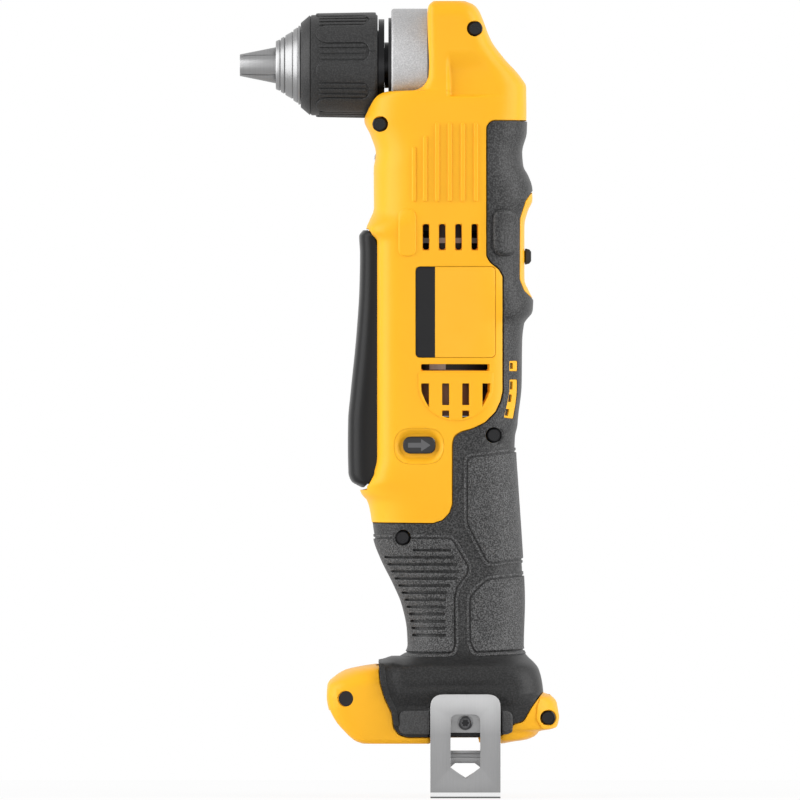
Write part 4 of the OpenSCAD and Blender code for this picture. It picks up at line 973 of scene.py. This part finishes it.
def round_sleeve(turn):
    """Wraps flat points of (arc at SLEEVE_R, distance ahead, height above the sleeve) round the chuck."""
    def wrap_round(c):
        a = c[:, 0] / SLEEVE_R + turn
        r = np.interp(c[:, 1], [0, 4, 24, 26], [17.5, 17.7, 17.35, 17.2]) + c[:, 2]
        return np.column_stack([CHUCK - c[:, 1], -r * np.cos(a), SPINDLE - r * np.sin(a)])
    return wrap_round


def tile(name, outline, high, soft, segments, *gaps):
    """A flat raised form of the sleeve, ready to be bent."""
    return grid(soften(prism(name, outline, -0.5, high), high, soft, segments), *gaps)


def make_chuck():
    base = turned("chuck_grip_sleeve", at_chuck([
        (2.3, 14.7), (2.3, 17.0), (2.5, 17.35), (3, 17.6), (4, 17.7), (20, 17.42), (24.9, 17.3), (25.2, 17.2),
        (25.25, 16.9), (25.5, 16.85), (25.6, 17.15), (25.8, 17.1), (28.6, 14.75), (28.8, 14.5), (28.8, 11.4),
        (26.6, 11.4), (26.6, 14.7)]), 128)
    half, pad = SLEEVE_R * radians(180 / PADS), SLEEVE_R * radians(12.3)
    tip, tip_r, root, root_r = 23.6, 4.2, 5.2, 2.6
    front = [(pad * cos(t), tip - tip_r + tip_r * sin(t)) for t in np.linspace(0, pi, 17)]
    rear = [(half - (half - pad) * cos(t), root + root_r - root_r * sin(t))
            for t in np.linspace(pi / 2, 0, 9)]
    comb = [(-half, 2.9), (half, 2.9)] + rear + front + [(-x, s) for x, s in rear[::-1]]
    finger = tile("sleeve_pad", comb, 0.55, 0.28, 3, 1.2, 2.0)
    bars = []
    for middle in (-2.05, 0, 2.05):
        a, b = middle - 0.62, middle + 0.62
        bar = dense(rounded([(a, 6.2), (b, 6.2), (b, 22.5), (a, 22.5)], 0.6), 2)
        bars.append(tile("bar", bar, 0.42, 0.2, 2, 5, 4))
    bars = join(*bars)
    pieces = []
    for k in range(PADS):
        turn = radians(8 + 360 / PADS * k)
        pieces.append(twin(finger, "pad", round_sleeve(turn)))
        pieces.append(twin(bars, "bars", round_sleeve(turn - radians(180 / PADS))))
    for o in (finger, bars):
        bpy.data.objects.remove(o)
    for o in pieces:
        merge(o)
    done(join(base, *pieces), SLEEVE, "sleeve", "dark_plastic", "chuck_sleeve", angle=30)

    nose = turned("chuck_nose_ring", at_chuck([
        (28.9, 10.5), (28.9, 13.3), (29.1, 13.6), (29.6, 13.6), (29.7, 13.0), (29.95, 12.9), (30.05, 13.0),
        (31.35, 12.2), (31.4, 11.5), (31.7, 11.4), (31.8, 11.6), (34.1, 10.3), (34.15, 9.6), (34.45, 9.5),
        (34.55, 9.85), (35.65, 9.3), (35.7, 8.7), (36, 8.6), (36.1, 8.85), (37.1, 8.45), (37.4, 8.2),
        (37.4, 7.1), (31, 8.75), (31, 10.5)]), 128)
    done(nose, TURNED, "spindle", "steel", "chuck_nose", angle=28)
    for node in ("jaw_1", "jaw_2", "jaw_3"):
        jaw = cad_copy(node, "chuck_" + node, 0.5)
        done(chamfer(jaw, 0.16, 2, 30), JAW, node, "gear_steel", node, angle=28)

    collar = turned("cast_collar", [
        (-6.8, 15.8), (-6.8, 19.5), (-18.3, 19.5), (-18.75, 19.36), (-19.08, 19.05), (-19.2, 18.6), (-19.2, 8.4),
        (-18.6, 8.4), (-18.6, 14.1), (-10.4, 14.1), (-10.4, 15.8)], 128)
    done(collar, CAST, "frame", "cast", "head_collar", angle=40)


# ---- trigger, button, selector

PADDLE_FRONT = [
    (35.5, -29.6), (37.6, -33), (40.5, -34), (50, -34.2), (58.7, -34.1), (67.6, -33.3), (88.7, -31.2), (104.5, -30.2),
    (116, -30), (122, -30.3), (124, -29)]
PADDLE_BACK = [
    (35.5, -28.6), (37.5, -26.6), (40.4, -25), (45.5, -23.6), (58.7, -23.2), (110, -23.2), (120.4, -24.6), (124, -27.2)]


def make_paddle():
    """A hollow paddle laid out as rings, with the ears of its pivot, a pusher and two stops inside."""
    rows, wide, wall = 110, 64, 2.0
    low, high, spine, half_width, power, end_run = 35.5, 124, -20, 14.7, 4.2, 2.2
    heights = low + (high - low) * (1 - np.cos(np.linspace(0, pi, rows + 1))) / 2
    turn = np.linspace(-pi / 2, pi / 2, 361)
    rings = []
    for z in heights:
        f, b = float(along(PADDLE_FRONT, z)), float(along(PADDLE_BACK, z))
        end = min(z - low, high - z, end_run) / end_run
        half = half_width - 1.4 * (1 - sqrt(max(0, end * (2 - end))))
        r = ((abs(np.cos(turn)) / (spine - f)) ** power + (abs(np.sin(turn)) / half) ** power) ** (-1 / power)
        x, y = spine - r * np.cos(turn), r * np.sin(turn)
        x, y = x[x <= b], y[x <= b]
        run = np.concatenate([[0], np.cumsum(np.hypot(np.diff(x), np.diff(y)))])
        even = np.linspace(0, run[-1], wide + 1)
        x, y = np.interp(even, run, x), np.interp(even, run, y)
        outside = np.column_stack([x, y])
        inside = np.column_stack([np.minimum(f + wall + (x - f) * 1.15, b), y * (1 - wall / half)])
        ring = np.vstack([outside, inside[::-1], outside[:1]])
        rings.append(np.column_stack([ring, np.full(len(ring), z)]))
    o = fresh("trigger_paddle_cover", ops.mesh.primitive_grid_add,
              x_subdivisions=2 * wide + 2, y_subdivisions=rows, size=2)
    place(o, np.vstack(rings))
    edit(o)
    ops.mesh.remove_doubles(threshold=WELD)
    ops.mesh.fill_holes(sides=0)
    outward()
    inner = []
    pin_x, pin_z, ear_y, stop_y = -20.4, 118.5, 12.2, 10.5
    for y in (-ear_y, ear_y):
        ear = rod("ear", 2.6, (pin_x, y - 1, pin_z), (pin_x, y + 1, pin_z))
        cut(ear, box("arm", (-27.5, y - 1, 113.6), (pin_x, y + 1, pin_z)), operation="UNION")
        inner.append(cut(ear, rod("eye", 1.3, (pin_x, -30, pin_z), (pin_x, 30, pin_z))))
    inner.append(box("pusher", (-32, -3, 36.6), (-22.8, 3, 44)))
    for stop, points in (
            ("head_stop", [(-28.6, 110), (-23, 110), (-23, 118), (-23.7, 121), (-26, 123.8), (-28.6, 123.8)]),
            ("foot_stop", [(-31, 36.4), (-28.2, 36.1), (-26, 38), (-24.4, 41), (-23.4, 46), (-23.4, 52), (-31, 52)])):
        inner.append(upright(points, -stop_y, stop_y, stop))
    join(o, *[chamfer(e, 0.3) for e in inner])
    done(o, PADDLE, "trigger", "dark_plastic", "trigger_paddle", angle=40)


def side_at(*spot):
    """Half the form's width at a pixel of the photograph."""
    (u, v), = flat(mm([spot]))
    return -float(skin(np.array([u]), np.array([v]))[0, 1])


def upright(points, y0, y1, name):
    """A prism of an outline in X and Z, between two planes across the tool."""
    o = prism(name, points, y0, y1)
    return merge(place(o, coords(o)[:, [0, 2, 1]]))


def make_button():
    end = side_at(419.2, 445) - 0.6
    bar = mm(rounded([(403, 436.6), (435.4, 436.6), (435.4, 453.4), (403, 453.4)], 8.3))
    o = upright(dense(bar, 1), -end, end, "reversing_bar")
    done(chamfer(o, 0.5, 4, 50), DARK, "button", "dark_plastic", "reversing_button", angle=40)
    head = [(408, 442.6), (421, 442.6), (421, 438.8), (430.5, 445), (421, 451.2), (421, 447.4), (408, 447.4)]
    arrows = []
    for side in (-1, 1):
        low, high = sorted((side * (end - 0.3), side * (end + 0.06)))
        arrows.append(upright(mm(rounded(head, 0.6)), low, high, "direction_arrows"))
    done(join(*arrows), ARROW, "button", "dark_plastic")
    knob = cad_copy("speed_selector", "selector_knob")
    done(chamfer(knob, 0.3, 2), DARK, "selector", "dark_plastic", "speed_selector")


# ---- screws and hook

def star(r, depth):
    """The six-lobed recess of a screw that faces the left side at y = 0."""
    turns = np.linspace(0, 2 * pi, 49)[:-1]
    lobes = [(r + 0.16 * r * cos(6 * a), a) for a in turns]
    return upright([(k * cos(a), k * sin(a)) for k, a in lobes], -1, depth, "recess")


def screw_head(name, r, height):
    """A round head in the plane y = 0, facing the left side."""
    o = turned(name, [(0, 0), (0, r * 0.7), (0.12, r * 0.88), (0.4, r), (height, r), (height, 0)], 48, (0, 0, 0))
    merge(place(o, coords(o)[:, [1, 0, 2]]))
    return cut(o, star(r * 0.5, 0.85 * height))


def make_screws():
    model = screw_head("housing_screw_set", 2.66, 0.95)
    spots = [(x, 1.5 - side_at(*spot), z) for spot, (x, z) in zip(SCREWS, mm(SCREWS))]
    heads = [twin(model, "head", lambda c, s=s: c + s) for s in spots[:5]]
    shanks = [rod("shank", 1.4, (x, y + 0.8, z), (x, -0.45 * y, z)) for x, y, z in spots[:5]]
    x, y, z = spots[5]
    # Painted shade: the last well, in the foot, has no head; a near-black disc deep in it stands in for the shade of
    # the hole.
    shanks.append(rod("deep_head", 2.74, (x, y + 0.45, z), (x, y + 0.85, z)))
    bpy.data.objects.remove(model)
    heads[0].name = "housing_screw_set"
    x, y, z = HOOK_SCREW
    # Painted shade: a black star sits in the hook screw's recess, standing in for the shade inside it.
    recess_shade = star(1.15, 0)
    place(recess_shade, coords(recess_shade) + (x, y + 1.1, z))
    done(join(*heads, *shanks, recess_shade), BLACKED, "frame", "black_steel", "housing_screws", angle=12)
    model = screw_head("hook_fixing_screw", 2.4, 1.4)
    place(model, coords(model) + HOOK_SCREW)
    shank = rod("shank", 1.5, (x, y + 1.2, z), (x, -26.5, z))
    done(join(model, shank), ZINC, "frame", "black_steel", "hook_screw", angle=12)


def make_hook():
    """A strip bent to a U: a window in the outer leg, and a lipped cross bar between two openings in the inner one."""
    middle, _, screw = HOOK_SCREW
    half, low, outer, inner, thick, bend = 12, FOOT - 18.4, -45.7, -30.5, 1.6, 2.6
    outer_top, inner_top = FOOT + 17.2, FOOT + 12

    def corner(y, r, start, end):
        return [(y + r * cos(a), low + bend + r * sin(a)) for a in np.linspace(start, end, 13) * pi]

    def opening(points, y0, y1):
        return upright(rounded([(middle + p[0], *p[1:]) for p in points]), y0, y1, "opening")

    front, rear = outer + bend, inner - bend
    strip = prism("steel_belt_hook", [(outer, outer_top)] + corner(front, bend, 1, 1.5) + corner(rear, bend, 1.5, 2)
                  + [(inner, inner_top), (inner - thick, inner_top)] + corner(rear, bend - thick, 2, 1.5)
                  + corner(front, bend - thick, 1.5, 1) + [(outer + thick, outer_top)], middle - half, middle + half)
    o = merge(place(strip, coords(strip)[:, [2, 0, 1]]))
    whole = [(-half, -90), (half, -90), (half, outer_top, 4.6), (-half, outer_top, 4.6)]
    cut(o, opening(whole, -60, 0), operation="INTERSECT")
    window = [(-5.1, -42.1, 2.6), (5.1, -42.1, 2.6), (5.1, -60.2, 0.6), (0.1, -64, 1), (-5.1, -60.2, 0.6)]
    cut(o, opening(window, -48, -43))
    for points in (
            [(-5.1, -48.6), (5.1, -48.6), (5.1, -54.7), (-5.1, -54.7)],
            [(-3.5, -59), (3.2, -59), (5.1, -60.4), (5.1, -60.8), (0.1, -64), (-5.1, -60.8), (-5.1, -60.4)]):
        cut(o, opening(points, -34, -29))
    cut(o, box("lip", (0.6, -33.3, -55.6), (11.8, -31.2, -54.7)), operation="UNION")
    cut(o, box("groove", (0.8, -33.6, -57), (11.6, -31, -55.6)))
    cut(o, rod("screw_hole", 1.7, (middle, -34, screw), (middle, -29, screw)))
    done(chamfer(o, 0.22, 3, 35), STEEL, "frame", "steel", "belt_hook", angle=30)


# ---- motor

def make_motor_trim():
    """What closes the view through the vents: rings on the fan's blades, plates by the brushes, and painted shade: a
    dark sheet behind the back vents.
    """
    for name, profile, finish, slot in (
            ("fan_shroud", [(123.05, 4.6), (123.05, 15.4), (123.7, 15.4), (123.7, 4.6)], DARK, "dark_plastic"),
            ("fan_band", [(119.5, 15.2), (119.5, 15.9), (121.3, 15.9), (121.3, 15.2)],
             plain("fan_band_metal", (0.8, 0.79, 0.77), 0.5, 0.2, 1500), "steel")):
        ring = turned(name, profile, 64, (0, 0, 0))
        place(ring, coords(ring)[:, [1, 2, 0]])
        done(merge(ring), finish, "rotor", slot)
    plates = [box("brush_shields", (a, -0.6, 62.3), (b, 0.6, 75.6)) for a, b in ((-16.6, -7.5), (7.5, 16.6))]
    plates.append(box("lead_shield", (-12, -0.6, 56.5), (12, 0.6, 59.9)))
    done(join(*[chamfer(o, 0.15) for o in plates]), finish_of["phenolic"], "frame", "phenolic")
    # Painted shade: a dark sheet under the back vents stands in for the shade inside them.
    outline = [(508.9, 362), (513, 362), (513, 404), (509.4, 417), (503.9, 416.6), (507, 403), (508.6, 392)]
    shade_sheet = plate("vent_screen", seen(outline), -2.3, -0.5, 0.1)
    done(paired(shade_sheet), DARK, "frame", "dark_plastic")


def motor_can():
    """Dark painted can: a bare band at the fan, and at the brush end bare metal between a lead and a tape."""
    f = Finish("motor_can_paint")
    x, y, z = f.axes()
    cloud = f.noise(90, 3, 0.6)
    streak = f.noise(1.0, 3, 0.6, f.node("CombineXYZ", {0: x * 900, 1: y * 900, 2: z * 60}))
    dark = f.mix(cloud, (0.012, 0.011, 0.011), (0.028, 0.025, 0.024))
    bare = f.mix(streak, (0.55, 0.53, 0.51), (0.85, 0.84, 0.82))
    band = (z > 0.1195) * (0.1213 - z > 0.0)
    foot_end = (0.085 - z > 0.0) * (x > -0.0061) * (-0.0005 - x > 0.0)
    return f.feed(f.mix(band + foot_end, dark, bare), 0.5 + 0.15 * cloud)


paint("motor_can", motor_can())
paint("spindle", BLACKED)
paint("dust_seal", DARK)
make_motor_trim()
make_housing()
make_rubber()
make_label()
make_chuck()
make_paddle()
make_button()
make_screws()
make_hook()


# ---- studio

def white_rays(tree):
    """1 for the rays that see the room as white: those of the camera, of gloss and of clear pieces."""
    path = tree.nodes.new("ShaderNodeLightPath")
    total = path.outputs["Is Camera Ray"]
    for ray in ("Is Glossy Ray", "Is Transmission Ray"):
        either = tree.nodes.new("ShaderNodeMath")
        either.operation = "MAXIMUM"
        tree.links.new(total, either.inputs[0])
        tree.links.new(path.outputs[ray], either.inputs[1])
        total = either.outputs[0]
    return total


def pale_floor():
    """A matt sheet, lightened for white rays only, so that it throws little light up and keeps its shadow."""
    f = Finish("pale_floor")
    cloud = f.noise(60, 3)
    f.feed(f.mix(cloud, (0.82, 0.82, 0.82), (0.86, 0.86, 0.86)), 0.8 + 0.1 * cloud)
    glow = f.node("Emission", {"Color": (1, 1, 1, 1)})
    lightened = Wire(f, white_rays(f.tree)) * 0.9
    both_ways = f.node("MixShader", {0: lightened, 1: Wire(f, f.shader.outputs[0]), 2: glow})
    end = next(n for n in f.tree.nodes if n.type == "OUTPUT_MATERIAL")
    f.tree.links.new(both_ways.socket, end.inputs["Surface"])
    return f.material


def area(name, at, to, size, power):
    light = bpy.data.lights.new(name, "AREA")
    light.shape, light.size, light.size_y, light.energy = "RECTANGLE", size[0], size[1], power
    o = bpy.data.objects.new(name, light)
    bpy.context.scene.collection.objects.link(o)
    o.location = at
    o.rotation_euler = (Vector(to) - Vector(at)).to_track_quat("-Z", "Y").to_euler()


def white_room():
    """White to look at, and dimmer as a light."""
    world = bpy.data.worlds.new("white_room")
    bpy.context.scene.world = world
    world.use_nodes = True
    tree = world.node_tree
    ground = next(n for n in tree.nodes if n.type == "BACKGROUND")
    level = tree.nodes.new("ShaderNodeMapRange")
    level.inputs["To Min"].default_value = 0.44
    level.inputs["To Max"].default_value = 1.0
    tree.links.new(white_rays(tree), level.inputs["Value"])
    tree.links.new(level.outputs[0], ground.inputs["Strength"])
    ground.inputs["Color"].default_value = (1, 1, 1, 1)


# In metres: the floor just under the belt hook, what the lamps aim at, and the camera, far off with a long lens.
FLOOR, AIM = -0.071, (-0.012, 0, 0.07)
CAMERA_AT, SENSOR, LENS = (-0.0162, -6, 0.06555), 36, 783

floor = fresh("floor", ops.mesh.primitive_grid_add, x_subdivisions=8, y_subdivisions=8, size=0.5)
place(floor, coords(floor) + (0, 0, FLOOR))
floor.data.materials.append(pale_floor())
white_room()
area("left_panel", (-1.5, -0.5, 0.5), AIM, (1.3, 2.2), 31)
area("right_panel", (1.5, -0.45, 0.5), AIM, (1.3, 2.2), 29)
area("front_fill", (-0.1, -2.6, 0.1), AIM, (1.2, 1.2), 6)

camera = bpy.data.objects.new("camera", bpy.data.cameras.new("camera"))
bpy.context.scene.collection.objects.link(camera)
camera.data.sensor_width, camera.data.lens, camera.data.clip_end = SENSOR, LENS, 100
camera.location = CAMERA_AT
camera.rotation_euler = (pi / 2, 0, 0)
bpy.context.scene.camera = camera
bpy.context.scene.view_settings.view_transform = "Standard"
